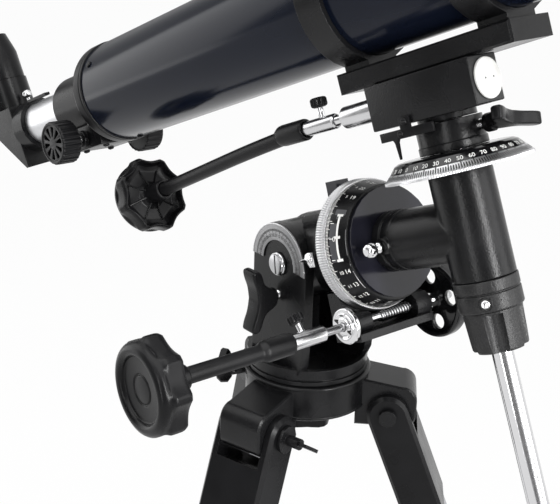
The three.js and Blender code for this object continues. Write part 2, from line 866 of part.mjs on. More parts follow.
// The knob's outer face is at the point given; its hollow side and hub look back along the shaft
function knobSolid(at, faceAxis) {
  const k = knobShape;
  const body = prism(lobed(k.radius, k.lobeDepth, k.lobes, k.stepsEach), k.height, point(0, 0, -k.height),
    axes.x, axes.y, k.rim);
  const recess = rod(k.recessRadius, -k.recessDepth, cutOverrun, mediumSteps);
  const hollow = rod(k.hollowRadius, -k.height - cutOverrun, -k.floor, mediumSteps);
  const hub = rod(k.hubRadius, -k.hubEnd, gap - k.floor, smallSteps);
  const shaftRoom = rod(k.shaftRoom, -k.hubEnd - cutOverrun, k.shaftDepth - k.hubEnd, smallSteps);
  const knob = toGeometry(cut(join(cut(body, recess, hollow), hub), shaftRoom));
  knob.applyQuaternion(new THREE.Quaternion().setFromUnitVectors(axes.z, faceAxis));
  knob.translate(at.x, at.y, at.z);
  return weld(knob);
}

function buildRaWorm(polar) {
  const line = point(0, worm.drop, worm.at);
  const screw = threaded(worm.core, worm.crest, worm.pitch, worm.from, worm.to, tinySteps, line, axes.x);
  const shaft = rod(worm.shaftRadius, worm.shaftFrom, worm.shaftTo, tinySteps, line, axes.x);
  add(polar, 'ra_worm', join(screw, shaft), finishes.steel);
  const sleeveBore = worm.shaftRadius + gap;
  const ring = tubeRing(sleeveBore, sleeve.radius, raSleeve.from, raSleeve.to, smallSteps, line, axes.x);
  const thumbWay = point(0, Math.cos(raSleeve.thumbTurn), -Math.sin(raSleeve.thumbTurn));
  const thumbAt = line.clone().add(point(raSleeve.thumbAt, 0, 0));
  thumbAt.addScaledVector(thumbWay, worm.shaftRadius + gap + gap);
  add(polar, 'ra_sleeve', join(ring, thumbScrew(thumbAt, thumbWay)), finishes.chrome);
  const collar = turned([
    [sleeve.radius + gap, raFlex.collarTo], [flexShaft.collarRadius, raFlex.collarTo],
    [flexShaft.collarRadius, raFlex.collarFrom + gap], [flexShaft.radius, raFlex.collarFrom - gap],
    [flexShaft.radius, raFlex.end], [0, raFlex.end], [0, raSleeve.from - gap],
    [sleeve.radius + gap, raSleeve.from - gap],
  ], smallSteps, line, axes.x);
  add(polar, 'ra_flex_shaft', collar, finishes.plasticBlack);
  const knobAt = point(raKnob.face, worm.drop, worm.at);
  add(polar, 'ra_knob', knobSolid(knobAt, axes.minusX), finishes.plasticBlack);
  const holes = [];
  for (let i = 0; i < handWheel.holes; i += 1) {
    const angle = (2 * Math.PI * i) / handWheel.holes;
    const offset = point(0, handWheel.holeCircle * Math.sin(angle), handWheel.holeCircle * Math.cos(angle));
    const at = line.clone().add(offset);
    holes.push(rod(handWheel.holeRadius, handWheel.from, handWheel.to, smallSteps, at, axes.x));
  }
  const middle = (handWheel.from + handWheel.to) / 2;
  const webHalf = handWheel.webThickness / 2;
  const rimInner = handWheel.radius - handWheel.rimWall;
  const disc = turned([
    [worm.shaftRadius + gap, handWheel.hubFrom], [handWheel.hubRadius, handWheel.hubFrom],
    [handWheel.hubRadius, middle - webHalf], [rimInner, middle - webHalf], [rimInner, handWheel.from],
    [handWheel.radius, handWheel.from + gap], [handWheel.radius, handWheel.to - gap],
    [rimInner, handWheel.to],
    [rimInner, middle + webHalf], [handWheel.hubRadius, middle + webHalf],
    [handWheel.hubRadius, handWheel.hubTo],
    [worm.shaftRadius + gap, handWheel.hubTo],
  ], mediumSteps, line, axes.x);
  add(polar, 'ra_hand_wheel', cut(disc, ...holes), finishes.plasticBlack);
}

// Right-ascension wheel and circle on the polar axis

const raWheel = {
  rimBack: -87.6,
  rimFront: -80.3,
  bore: 10,
  profile: [
    [40.4, -87], [40, -86.4], [39.2, -85.2], [39.1, -84], [39.2, -82.8], [39.9, -81.6],
    [39.4, -80.3],
  ],
};

const raCircle = {
  back: -80,
  backRadius: 39,
  front: -66.3,
  frontRadius: 34.4,
};

function buildRaWheel(polar) {
  add(polar, 'ra_wheel', turned([
    [raWheel.bore, raWheel.rimBack], [raWheel.profile[0][0], raWheel.rimBack], ...raWheel.profile,
    [raWheel.bore, raWheel.rimFront],
  ], roundSteps), finishes.aluminium);
}

function buildRaCircle(polar) {
  const { back, backRadius, front, frontRadius } = raCircle;
  add(polar, 'ra_circle', turned([
    [raWheel.bore, back], [backRadius, back], [frontRadius, front], [raWheel.bore, front],
  ], roundSteps), finishes.plasticBlack);
}

// Head casting, whose local x is the polar axis and whose z is the declination axis

const head = {
  shaftRadius: 9.7,
  shaftFrom: -118,
  discFrom: -66,
  discTo: -64,
  discRadius: 33,
  barrelFrom: -63.7,
  barrelRadius: 18,
  grooveFrom: -57.6,
  grooveTo: -56.4,
  grooveRadius: 17.2,
  housingRadius: 17.5,
  housingTop: 33.7,
  bore: 8,
};

const endCollar = {
  top: -25.2,
  bottom: -42.4,
  radius: 18,
  grooveAt: -32.5,
};

const headLock = {
  x: -53.5,
  z: 0.4,
  bossRadius: 4,
  bossTo: 20,
  stemRadius: 2.2,
  stemTo: 24,
  headRadius: 4.4,
  headTo: 32,
  cheekHeight: 2,
};

function headSolid() {
  const housing = turned([
    [head.bore, endCollar.bottom], [endCollar.radius - gap, endCollar.bottom],
    [endCollar.radius, endCollar.grooveAt - gap], [head.housingRadius, endCollar.grooveAt],
    [endCollar.radius, endCollar.grooveAt + gap], [endCollar.radius, endCollar.top - gap],
    [head.grooveRadius, endCollar.top], [head.housingRadius, endCollar.top + gap],
    [head.housingRadius, head.housingTop], [head.bore, head.housingTop],
  ], roundSteps);
  const barrel = turned([
    [0, head.shaftFrom], [head.shaftRadius, head.shaftFrom], [head.shaftRadius, head.barrelFrom],
    [head.barrelRadius, head.barrelFrom], [head.barrelRadius, head.grooveFrom - gap],
    [head.grooveRadius, head.grooveFrom], [head.grooveRadius, head.grooveTo],
    [head.barrelRadius, head.grooveTo + gap], [head.barrelRadius, 0], [0, 0],
  ], roundSteps, point(), axes.x);
  const bossAt = point(headLock.x, 0, headLock.z);
  const { bossRadius, bossTo, stemRadius } = headLock;
  const boss = rod(bossRadius, head.shaftRadius + cutOverrun, bossTo, smallSteps, bossAt, axes.minusY);
  const screwHole = rod(stemRadius + gap, head.barrelRadius - cutOverrun, bossTo + cutOverrun, tinySteps,
    bossAt, axes.minusY);
  const bore = rod(head.bore, endCollar.bottom - cutOverrun, head.housingTop + cutOverrun, mediumSteps);
  return cut(join(housing, barrel, boss), bore, screwHole);
}

function headLockSolid() {
  const at = point(headLock.x, 0, headLock.z);
  const { stemRadius, headRadius, stemTo, headTo, cheekHeight } = headLock;
  const stemFrom = head.barrelRadius - cutOverrun + gap;
  const stem = rod(stemRadius, stemFrom, stemTo + gap, tinySteps, at, axes.minusY);
  const round = turned([
    [0, stemTo], [headRadius / 2, stemTo], [headRadius, stemTo + cheekHeight],
    [headRadius, headTo - cheekHeight], [headRadius / 2, headTo], [0, headTo],
  ], smallSteps, at, axes.minusY);
  return join(stem, round);
}

function buildHead(headGroup) {
  const { discRadius, discFrom, discTo } = head;
  const disc = tubeRing(raWheel.bore, discRadius, discFrom, discTo, roundSteps, point(), axes.x);
  add(headGroup, 'ra_disc', disc, finishes.discGrey);
  add(headGroup, 'head_housing', headSolid(), finishes.castBlack);
  add(headGroup, 'head_lock_screw', headLockSolid(), finishes.chrome);
}

// Declination circle, clutch, worm block and saddle; local x is the tube's forward, z the declination axis

const decCircle = {
  bore: 8,
  top: 44.6,
  outer: [[40.5, 34], [39.5, 36], [34, 42.3], [31, 44.2], [28, 44.6]],
  dish: [[8, 41.4], [20, 41.4], [31.5, 40.6], [37.6, 35.6], [38.5, 34]],
};

const decClutch = {
  from: 44.9,
  stepTo: 49,
  stepRadius: 18.8,
  radius: 18.2,
  to: 60.5,
  leverAngle: THREE.MathUtils.degToRad(5),
  leverZ: 54.4,
  screwRadius: 3,
  screwFrom: 14,
  screwTo: 27,
  handleAt: 34.4,
  handleTilt: THREE.MathUtils.degToRad(12),
  handleDepth: 7,
};

const decBlock = {
  low: [-30, -26, 63.8],
  high: [39.4, -2, 88.2],
  bevel: 0.8,
  turretRadius: 16,
  turretFrom: 60.8,
  shaftRadius: 7.7,
  shaftTo: -59.7,
  wormV: -14,
  wormD: 76,
  bushingRadius: 6.4,
  bushingTo: -58,
  boreTo: 30,
};

const decWorm = {
  radius: 3,
  from: -84,
  to: 28,
  sleeveFrom: -98.6,
  sleeveTo: -65.5,
  sleeveRadius: 4.5,
  thumbAt: -76.4,
};

const decFlex = {
  collarTo: -91,
  path: [
    [-99, -14, 75.6], [-112, -14, 74.8], [-150, -14, 72],
    [-195, -13.4, 67.9], [-240, -12.2, 63.8], [-250.4, -12, 62.8],
  ],
  pathSteps: 16,
};

const decKnob = {
  face: [-280.5, -12, 60],
  tilt: THREE.MathUtils.degToRad(5.3),
};

const decCap = {
  radius: 10.5,
  thickness: 2,
};

const decPointer = {
  low: [-24.7, -27.9, 57],
  high: [11.5, -26.3, 62],
  needleU: -14.5,
  needleHalf: 1.6,
  needleTip: 46.4,
  tabFrom: -10,
  tabTo: -3,
  tabTop: 68,
};

const saddle = {
  from: -55,
  to: 62,
  halfWidth: 18,
  bottom: 88.5,
  top: 100,
  bevel: 1.2,
};

const tube = {
  radius: 36,
  wall: 1.6,
  standOff: 5,
  rear: -280,
  front: 330,
};

// The tube's axis stands over the saddle at this height from the crossing of the axes
const tubeHeight = saddle.top + tube.standOff + tube.radius;

const cradle = {
  wall: 3.3,
  width: 18,
  at: [-52, 40],
  footHalf: 12,
  earHalf: 6,
  earHeight: 12.4,
  screwRadius: 7,
  screwHeight: 10,
};

const lockNut = {
  profile: [[8, -42.7], [16.5, -42.7], [15.4, -63.5], [9.8, -66], [6.3, -66], [6.3, -60], [8, -60]],
  lobes: 5,
  lobeTurn: THREE.MathUtils.degToRad(18),
  grooveReach: 18.4,
  grooveRadius: 6,
  grooveFrom: -43.9,
};

const balance = {
  barRadius: 6,
  barTop: -60.3,
  barBottom: -276,
  stopRadius: 9,
  stopHeight: 8,
  weightRadius: 34,
  weightTop: -177,
  weightBottom: -222,
  weightBevel: 3,
  screwRadius: 3.4,
  screwKnobFrom: 38,
  screwKnobTo: 49,
  screwKnobRadius: 9,
};

function decClutchSolid() {
  const { from, to, stepRadius, stepTo, radius } = decClutch;
  const { leverAngle, leverZ, screwRadius, screwFrom, screwTo } = decClutch;
  const ring = turned([
    [decCircle.bore, from], [stepRadius, from], [stepRadius, stepTo],
    [radius, stepTo + gap], [radius, to], [decCircle.bore, to],
  ], roundSteps);
  const direction = point(Math.cos(leverAngle), Math.sin(leverAngle), 0);
  const hole = rod(screwRadius + gap, screwFrom - gap, screwTo, tinySteps, point(0, 0, leverZ), direction);
  return cut(ring, hole);
}

function decLeverSolid() {
  const { leverAngle, leverZ, screwRadius, screwFrom, screwTo } = decClutch;
  const { handleAt, handleTilt, handleDepth } = decClutch;
  const direction = point(Math.cos(leverAngle), Math.sin(leverAngle), 0);
  const screw = rod(screwRadius, screwFrom, screwTo, tinySteps, point(0, 0, leverZ), direction);
  const inward = direction.clone().negate();
  const wings = point(-direction.y, direction.x, 0).multiplyScalar(Math.cos(handleTilt));
  wings.addScaledVector(axes.z, -Math.sin(handleTilt));
  const flat = inward.clone().cross(wings);
  const at = point(0, 0, leverZ).addScaledVector(direction, handleAt).addScaledVector(flat, -handleDepth / 2);
  return join(screw, prism(bowOutline(), handleDepth, at, inward, wings, bowHandle.bevel));
}

function decBlockSolid() {
  const { low, high, bevel } = decBlock;
  const body = prism(
    [[low[0], low[2]], [high[0], low[2]], [high[0], high[2]], [low[0], high[2]]],
    high[1] - low[1], point(0, high[1], 0), axes.x, axes.z, bevel,
  );
  const turret = turned([
    [0, decBlock.shaftTo], [decBlock.shaftRadius, decBlock.shaftTo],
    [decBlock.shaftRadius, decBlock.turretFrom],
    [decBlock.turretRadius, decBlock.turretFrom], [decBlock.turretRadius, high[2]], [0, high[2]],
  ], roundSteps);
  const line = point(0, decBlock.wormV, decBlock.wormD);
  const { bushingRadius, bushingTo, boreTo } = decBlock;
  const bushing = rod(bushingRadius, bushingTo, low[0] + cutOverrun, smallSteps, line, axes.x);
  const bore = rod(decWorm.radius + gap, bushingTo - cutOverrun, boreTo, smallSteps, line, axes.x);
  return cut(join(body, turret, bushing), bore);
}

function decPointerSolid() {
  const { low, high, needleU, needleHalf, needleTip, tabFrom, tabTo, tabTop } = decPointer;
  const bar = block(point(...low), point(...high));
  const needle = block(
    point(needleU - needleHalf, low[1], needleTip),
    point(needleU + needleHalf, high[1], low[2] + gap),
  );
  const tab = block(point(tabFrom, low[1], high[2] - gap), point(tabTo, high[1], tabTop));
  return join(bar, needle, tab);
}

function ringSolid(at) {
  const { wall, width, footHalf, earHalf, earHeight, screwRadius, screwHeight } = cradle;
  const inner = tube.radius + gap;
  const outer = inner + wall;
  const footBottom = saddle.top + gap - tubeHeight;
  const earTo = outer + earHeight;
  const centre = point(at, 0, 0);
  const band = rod(outer, 0, width, roundSteps, centre, axes.x);
  const foot = block(point(at, -footHalf, footBottom), point(at + width, footHalf, 0));
  const ear = block(point(at, -earHalf, 0), point(at + width, earHalf, earTo));
  const knob = rod(screwRadius, earTo - gap, earTo + screwHeight, smallSteps, point(at + width / 2, 0, 0));
  const bore = rod(inner, -cutOverrun, width + cutOverrun, roundSteps, centre, axes.x);
  const ring = toGeometry(cut(join(band, foot, ear, knob), bore));
  ring.translate(0, 0, tubeHeight);
  return weld(ring);
}

function lockNutSolid() {
  const nut = turned(lockNut.profile, roundSteps);
  const { lobes, lobeTurn, grooveReach, grooveRadius, grooveFrom } = lockNut;
  const bottom = Math.min(...lockNut.profile.map(([, height]) => height)) - cutOverrun;
  const grooves = [];
  for (let i = 0; i < lobes; i += 1) {
    const turn = lobeTurn + (2 * Math.PI * i) / lobes;
    const at = point(grooveReach * Math.cos(turn), grooveReach * Math.sin(turn), 0);
    grooves.push(rod(grooveRadius, bottom, grooveFrom, smallSteps, at));
  }
  return cut(nut, ...grooves);
}

function decFlexSolid() {
  const curve = new THREE.CatmullRomCurve3(decFlex.path.map((stop) => point(...stop)));
  const circle = new THREE.Shape(arc([0, 0], flexShaft.radius, 0, 2 * Math.PI, tinySteps)
    .slice(0, -1).map(([a, b]) => new THREE.Vector2(a, b)));
  const swept = weld(new THREE.ExtrudeGeometry(circle, {
    steps: decFlex.pathSteps, extrudePath: curve, bevelEnabled: false,
  }));
  const line = point(0, decBlock.wormV, decBlock.wormD);
  const end = decFlex.path[1][0];
  const collar = rod(flexShaft.collarRadius, end, decFlex.collarTo, smallSteps, line, axes.x);
  const roomFrom = decWorm.sleeveFrom - gap;
  const roomTo = decFlex.collarTo + cutOverrun;
  const room = rod(decWorm.sleeveRadius + gap, roomFrom, roomTo, smallSteps, line, axes.x);
  return cut(join(collar, swept), room);
}

function buildDeclination(sight) {
  const circleProfile = [...decCircle.dish, ...decCircle.outer, [decCircle.bore, decCircle.top]];
  add(sight, 'dec_circle', turned(circleProfile, roundSteps), finishes.aluminium);
  add(sight, 'dec_clutch', decClutchSolid(), finishes.castBlack);
  add(sight, 'dec_clutch_lever', decLeverSolid(), finishes.plasticBlack);
  add(sight, 'dec_block', decBlockSolid(), finishes.castBlack);
  const line = point(0, decBlock.wormV, decBlock.wormD);
  const capFrom = decBlock.high[0] + gap;
  const cap = rod(decCap.radius, capFrom, capFrom + decCap.thickness, mediumSteps, line, axes.x);
  add(sight, 'dec_cap', cap, finishes.white);
  add(sight, 'dec_pointer', decPointerSolid(), finishes.castBlack);
  const stub = rod(decWorm.radius, decWorm.from, decWorm.to, tinySteps, line, axes.x);
  const ring = tubeRing(decWorm.radius + gap / 2, decWorm.sleeveRadius, decWorm.sleeveFrom, decWorm.sleeveTo,
    smallSteps, line, axes.x);
  add(sight, 'dec_worm', stub, finishes.steel);
  const thumbAt = line.clone().add(point(decWorm.thumbAt, 0, decWorm.radius + gap));
  add(sight, 'dec_sleeve', join(ring, thumbScrew(thumbAt, axes.z)), finishes.chrome);
  add(sight, 'dec_flex_shaft', decFlexSolid(), finishes.plasticBlack);
  const faceAxis = point(-Math.cos(decKnob.tilt), 0, -Math.sin(decKnob.tilt));
  add(sight, 'dec_knob', knobSolid(point(...decKnob.face), faceAxis), finishes.plasticBlack);
  add(sight, 'dec_lock_nut', lockNutSolid(), finishes.castBlack);
}

function buildBalance(sight) {
  const { barRadius, barTop, barBottom, stopRadius, stopHeight } = balance;
  const bar = rod(barRadius, barBottom, barTop, mediumSteps);
  const stop = rod(stopRadius, barBottom - stopHeight, barBottom + gap, smallSteps);
  add(sight, 'balance_bar', join(bar, stop), finishes.chrome);
  const { weightRadius, weightTop, weightBottom, weightBevel } = balance;
  const bore = barRadius + gap;
  const weight = turned([
    [bore, weightBottom], [weightRadius - weightBevel, weightBottom],
    [weightRadius, weightBottom + weightBevel], [weightRadius, weightTop - weightBevel],
    [weightRadius - weightBevel, weightTop], [bore, weightTop],
  ], roundSteps);
  const middle = point(0, 0, (weightTop + weightBottom) / 2);
  const hole = rod(balance.screwRadius + gap, 0, weightRadius + cutOverrun, tinySteps, middle, axes.minusY);
  add(sight, 'counterweight', cut(weight, hole), finishes.castBlack);
  const shank = rod(balance.screwRadius, bore, balance.screwKnobFrom + gap, tinySteps, middle, axes.minusY);
  const { screwKnobRadius, screwKnobFrom, screwKnobTo } = balance;
  const knob = rod(screwKnobRadius, screwKnobFrom, screwKnobTo, smallSteps, middle, axes.minusY);
  add(sight, 'counterweight_screw', join(shank, knob), finishes.plasticBlack);
}

// Optical tube with its rings, dew shield and lens

const dewShield = {
  overlap: 14,
  seatGap: 2,
  seatThickness: 4,
  seatWidth: 5.3,
  sleeveWall: 2.7,
  sleeveAhead: 16,
  hoodLength: 58,
  hoodWall: 2,
  hoodStep: 3,
};

const lens = {
  edge: 4,
  bulge: 3,
  reachShares: [0, 0.5, 0.75, 1],
  heightShares: [1, 0.8, 0.5, 0],
};

function buildTube(sight) {
  const { from, to, bottom, top, halfWidth, bevel } = saddle;
  const side = [[from, bottom], [to, bottom], [to, top], [from, top]];
  const rail = prism(side, 2 * halfWidth, point(0, halfWidth, 0), axes.x, axes.z, bevel);
  add(sight, 'saddle', rail, finishes.castBlack);
  cradle.at.forEach((at, i) => add(sight, `tube_ring_${i + 1}`, ringSolid(at), finishes.castBlack));
  const centre = point(0, 0, tubeHeight);
  const { radius, wall, rear, front } = tube;
  const shell = tubeRing(radius - wall, radius, rear, front, roundSteps, centre, axes.x);
  add(sight, 'optical_tube', shell, finishes.navyGloss);
  const d = dewShield;
  const sleeveInner = tube.radius + gap;
  const sleeveOuter = sleeveInner + d.sleeveWall;
  const hoodOuter = sleeveOuter + d.hoodStep;
  const hoodInner = hoodOuter - d.hoodWall;
  const seatFrom = tube.front + d.seatGap;
  const seatTo = seatFrom + d.seatThickness;
  const step = tube.front + d.sleeveAhead;
  const mouth = step + d.hoodLength;
  const seatInner = sleeveInner - d.seatWidth;
  add(sight, 'dew_shield', turned([
    [sleeveInner, tube.front - d.overlap], [sleeveOuter, tube.front - d.overlap], [sleeveOuter, step - gap],
    [hoodOuter, step], [hoodOuter, mouth], [hoodInner, mouth], [hoodInner, step], [sleeveInner, step],
    [sleeveInner, seatTo], [seatInner, seatTo], [seatInner, seatFrom], [sleeveInner, seatFrom],
  ], roundSteps, centre, axes.x), finishes.navyGloss);
  const lensRadius = sleeveInner - gap - gap;
  const lensBack = seatTo + gap;
  const lensRim = lensBack + lens.edge;
  const crown = lens.reachShares.map((share, i) => {
    const height = lensRim + lens.bulge * lens.heightShares[i];
    return [lensRadius * share, height];
  });
  const lensProfile = [[0, lensBack], [lensRadius, lensBack], ...crown.reverse()];
  add(sight, 'objective_lens', turned(lensProfile, roundSteps, centre, axes.x), finishes.glass);
}

// Rear cell and focuser; the unit is rolled about the tube's axis, which is its local x

const focuser = {
  roll: THREE.MathUtils.degToRad(-2.1),
  cellStep: 0.8,
  cellFrom: -291,
  bodyRadius: 24,
  bodyTo: -345,
  bore: 17.8,
  coneTo: -296,
  pinionAt: -320.4,
  pinionDrop: -26.9,
  pinionRadius: 3,
  blockFrom: -336,
  blockTo: -298,
  blockHalf: 18,
  blockBottom: -35,
};

const focusKnob = {
  radius: 16,
  from: 30,
  to: 45.3,
  bevel: 1.6,
};

const drawtube = {
  radius: 17.5,
  wall: 2,
  from: -402,
  to: -262,
};

const diagonal = {
  noseRadius: 15.2,
  noseTo: -386,
  collarFrom: -418,
  collarRadius: 21,
  boreRadius: 13,
  bodyBack: -464,
  bodyHalf: 18,
  bodyTop: 20,
  bodyBottom: -31,
  mirrorTop: 12,
  mirrorFoot: -421,
  lightInFrom: -436,
  lightUpFrom: 6,
  turretRadius: 18,
  turretTop: 44,
  twist: THREE.MathUtils.degToRad(6.2),
  armFrom: -403,
  armTo: -374,
  armSides: [-8, -3.4],
  armLow: 18.6,
  armHigh: 20.8,
};

const eyepiece = {
  noseRadius: 15.6,
  from: 24,
  shoulder: 44.3,
  bodyRadius: 17,
  bodyTo: 66,
  topRadius: 13,
  top: 82,
  eyeRadius: 7,
  eyeDepth: 3,
};

function rearCellSolid() {
  const f = focuser;
  const cellRadius = tube.radius + f.cellStep;
  const shell = turned([
    [f.bore, f.bodyTo], [f.bodyRadius - gap, f.bodyTo], [f.bodyRadius, f.bodyTo + cutOverrun],
    [f.bodyRadius, f.coneTo], [cellRadius - gap, f.cellFrom], [cellRadius, f.cellFrom + cutOverrun],
    [cellRadius, tube.rear - gap], [f.bore, tube.rear - gap],
  ], roundSteps, point(), axes.x);
  const housing = block(
    point(f.blockFrom, -f.blockHalf, f.blockBottom), point(f.blockTo, f.blockHalf, -f.bore - cutOverrun),
  );
  const reach = f.blockHalf + cutOverrun;
  const pinionAt = point(f.pinionAt, 0, f.pinionDrop);
  const shaftRoom = rod(f.pinionRadius + gap, -reach, reach, tinySteps, pinionAt, axes.y);
  return cut(join(shell, housing), shaftRoom);
}

function pinionSolid() {
  const f = focuser;
  const at = point(f.pinionAt, 0, f.pinionDrop);
  const reach = focusKnob.from + cutOverrun;
  const shaft = rod(f.pinionRadius, -reach, reach, tinySteps, at, axes.y);
  const profile = [
    [0, focusKnob.from], [focusKnob.radius, focusKnob.from],
    [focusKnob.radius, focusKnob.to - focusKnob.bevel],
    [focusKnob.radius - focusKnob.bevel, focusKnob.to], [0, focusKnob.to],
  ];
  return join(shaft, turned(profile, mediumSteps, at, axes.y), turned(profile, mediumSteps, at, axes.minusY));
}

function diagonalSolid() {
  const g = diagonal;
  const nose = rod(g.noseRadius, g.collarFrom, g.noseTo, mediumSteps, point(), axes.x);
  const collar = rod(g.collarRadius, g.collarFrom, drawtube.from - gap, mediumSteps, point(), axes.x);
  const [near, far] = g.armSides;
  const arm = block(point(g.armFrom, near, g.armLow), point(g.armTo, far, g.armHigh));
  const side = [
    [g.collarFrom + gap, g.bodyBottom], [g.collarFrom + gap, g.bodyTop], [g.bodyBack, g.bodyTop],
    [g.bodyBack, g.mirrorTop], [g.mirrorFoot, g.bodyBottom],
  ];
  const body = prism(side, 2 * g.bodyHalf, point(0, g.bodyHalf, 0), axes.x, axes.z, gap);
  const middle = (g.collarFrom + g.bodyBack) / 2;
  const turretAt = point(middle, 0, 0);
  const turret = rod(g.turretRadius, g.bodyTop - cutOverrun, g.turretTop, mediumSteps, turretAt);
  const lightIn = rod(g.boreRadius, g.lightInFrom, g.noseTo + cutOverrun, mediumSteps, point(), axes.x);
  const boreRadius = eyepiece.noseRadius + gap;
  const lightUp = rod(boreRadius, g.lightUpFrom, g.turretTop + cutOverrun, mediumSteps, turretAt);
  return cut(join(nose, collar, arm, body, turret), lightIn, lightUp);
}

function eyepieceSolid() {
  const p = eyepiece;
  const middle = (diagonal.collarFrom + diagonal.bodyBack) / 2;
  return turned([
    [0, p.from], [p.noseRadius, p.from], [p.noseRadius, p.shoulder], [p.bodyRadius, p.shoulder],
    [p.bodyRadius, p.bodyTo], [p.topRadius, p.top], [p.eyeRadius, p.top], [p.eyeRadius, p.top - p.eyeDepth],
    [0, p.top - p.eyeDepth],
  ], mediumSteps, point(middle, 0, 0));
}

function buildFocuser(rear, angled) {
  add(rear, 'rear_cell', rearCellSolid(), finishes.plasticBlack);
  add(rear, 'focus_pinion', pinionSolid(), finishes.plasticBlack);
  const { radius, wall, from, to } = drawtube;
  const pipe = tubeRing(radius - wall, radius, from, to, roundSteps, point(), axes.x);
  add(rear, 'drawtube', pipe, finishes.aluminium);
  add(angled, 'star_diagonal', diagonalSolid(), finishes.plasticBlack);
  add(angled, 'eyepiece', eyepieceSolid(), finishes.plasticBlack);
}

// The whole telescope, with its frames nested as its axes are

function frameGroup(parent, name, xAxis, yAxis, zAxis, at = point()) {
  const frame = new THREE.Group();
  frame.name = name;
  frame.quaternion.setFromRotationMatrix(new THREE.Matrix4().makeBasis(xAxis, yAxis, zAxis));
  frame.position.copy(at);
  parent.add(frame);
  return frame;
}

const polarAxis = point(Math.cos(pose.latitude), 0, Math.sin(pose.latitude));
const meridian = point(-Math.sin(pose.latitude), 0, Math.cos(pose.latitude));
const decAxis = meridian.clone().multiplyScalar(Math.cos(pose.hourAngle))
  .addScaledVector(axes.y, -Math.sin(pose.hourAngle));

// The middle of the hub's top, found from the altitude axis, which the fork and the polar housing share
const hubTop = polarAxis.clone().multiplyScalar(polarHousing.altitudeAt)
  .addScaledVector(meridian, polarHousing.altitudeDrop)
  .sub(point(altitude.x, 0, altitude.z));
const east = decAxis.clone().cross(polarAxis);
const forward = polarAxis.clone().multiplyScalar(Math.cos(pose.declination))
  .addScaledVector(east, Math.sin(pose.declination));
const sideways = decAxis.clone().cross(forward);

const group = new THREE.Group();
group.name = 'refractor_telescope';
const deck = frameGroup(group, 'deck_frame', axes.x, axes.y, axes.z, hubTop);
buildTripod(deck);
buildBase(deck);
const polar = frameGroup(group, 'polar_frame', axes.y, meridian, polarAxis);
buildPolar(polar);
buildRaWorm(polar);
buildRaWheel(polar);
buildRaCircle(polar);
buildHead(frameGroup(group, 'head_frame', polarAxis, east, decAxis));
const sight = frameGroup(group, 'sight_frame', forward, sideways, decAxis);
buildDeclination(sight);
buildBalance(sight);
buildTube(sight);
const rear = frameGroup(sight, 'rear_frame', axes.x, axes.y, axes.z, point(0, 0, tubeHeight));
rear.rotateX(focuser.roll);
const angled = frameGroup(rear, 'diagonal_frame', axes.x, axes.y, axes.z);
angled.rotateX(diagonal.twist);
buildFocuser(rear, angled);

group.updateMatrixWorld(true);
const bounds = new THREE.Box3().setFromObject(group, true);
const middle = bounds.getCenter(point());
group.position.set(-middle.x, -middle.y, -bounds.min.z);
group.updateMatrixWorld(true);

export default group;
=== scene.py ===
import json
import math

import bmesh
import bpy
from mathutils import Matrix, Vector


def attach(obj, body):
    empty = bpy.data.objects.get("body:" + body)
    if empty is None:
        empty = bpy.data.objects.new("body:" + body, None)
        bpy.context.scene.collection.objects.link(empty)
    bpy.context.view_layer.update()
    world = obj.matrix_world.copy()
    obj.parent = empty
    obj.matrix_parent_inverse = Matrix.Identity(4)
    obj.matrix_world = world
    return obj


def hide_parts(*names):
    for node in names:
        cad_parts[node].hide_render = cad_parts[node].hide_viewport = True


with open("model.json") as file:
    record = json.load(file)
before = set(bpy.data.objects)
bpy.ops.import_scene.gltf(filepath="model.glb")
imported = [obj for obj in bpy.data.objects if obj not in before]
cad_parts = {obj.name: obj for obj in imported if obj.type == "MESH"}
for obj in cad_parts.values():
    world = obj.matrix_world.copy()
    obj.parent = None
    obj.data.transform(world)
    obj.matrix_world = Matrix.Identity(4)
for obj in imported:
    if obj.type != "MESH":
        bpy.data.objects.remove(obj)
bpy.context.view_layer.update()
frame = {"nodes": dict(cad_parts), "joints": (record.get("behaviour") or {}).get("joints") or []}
print("frame loaded")

# Frames of the mount, in millimetres, taken from its joints
joints = {joint["name"]: joint for joint in frame["joints"]}
unit = 0.001


def axisOf(name):
    return Vector(joints[name]["axis"]).normalized()


def placeOf(name):
    return Vector(joints[name]["pos_m"])


def makeFrame(origin, xAxis, yAxis):
    zAxis = xAxis.cross(yAxis)
    basis = Matrix((xAxis, yAxis, zAxis)).transposed().to_4x4()
    return Matrix.Translation(origin) @ basis @ Matrix.Scale(unit, 4)


decAxis = axisOf("dec_slew")
polarAxis = axisOf("ra_slow_motion")
forwardAxis = axisOf("dec_control_turn")
wormAxis = axisOf("ra_control_turn")
decCollarHeight = 50
tubeHeight = 141
crossing = placeOf("dec_slew") - decAxis * decCollarHeight * unit
frames = {
    "deck": makeFrame(placeOf("azimuth_turn"), Vector((1, 0, 0)), Vector((0, 1, 0))),
    "polar": makeFrame(crossing, wormAxis, polarAxis.cross(wormAxis)),
    "head": makeFrame(crossing, polarAxis, decAxis.cross(polarAxis)),
    "sight": makeFrame(crossing, forwardAxis, decAxis.cross(forwardAxis)),
    "rear": makeFrame(crossing + decAxis * tubeHeight * unit, forwardAxis, axisOf("focus_knobs_turn")),
}
turretAxis = axisOf("eyepiece_turn")
frames["angled"] = makeFrame(crossing + decAxis * tubeHeight * unit, forwardAxis,
                             turretAxis.cross(forwardAxis))
for legNumber in (1, 2, 3):
    inward = axisOf(f"leg_fold_{legNumber}")
    down = axisOf(f"leg_extend_{legNumber}")
    frames[f"leg{legNumber}"] = makeFrame(placeOf(f"leg_fold_{legNumber}"), inward.cross(-down), inward)


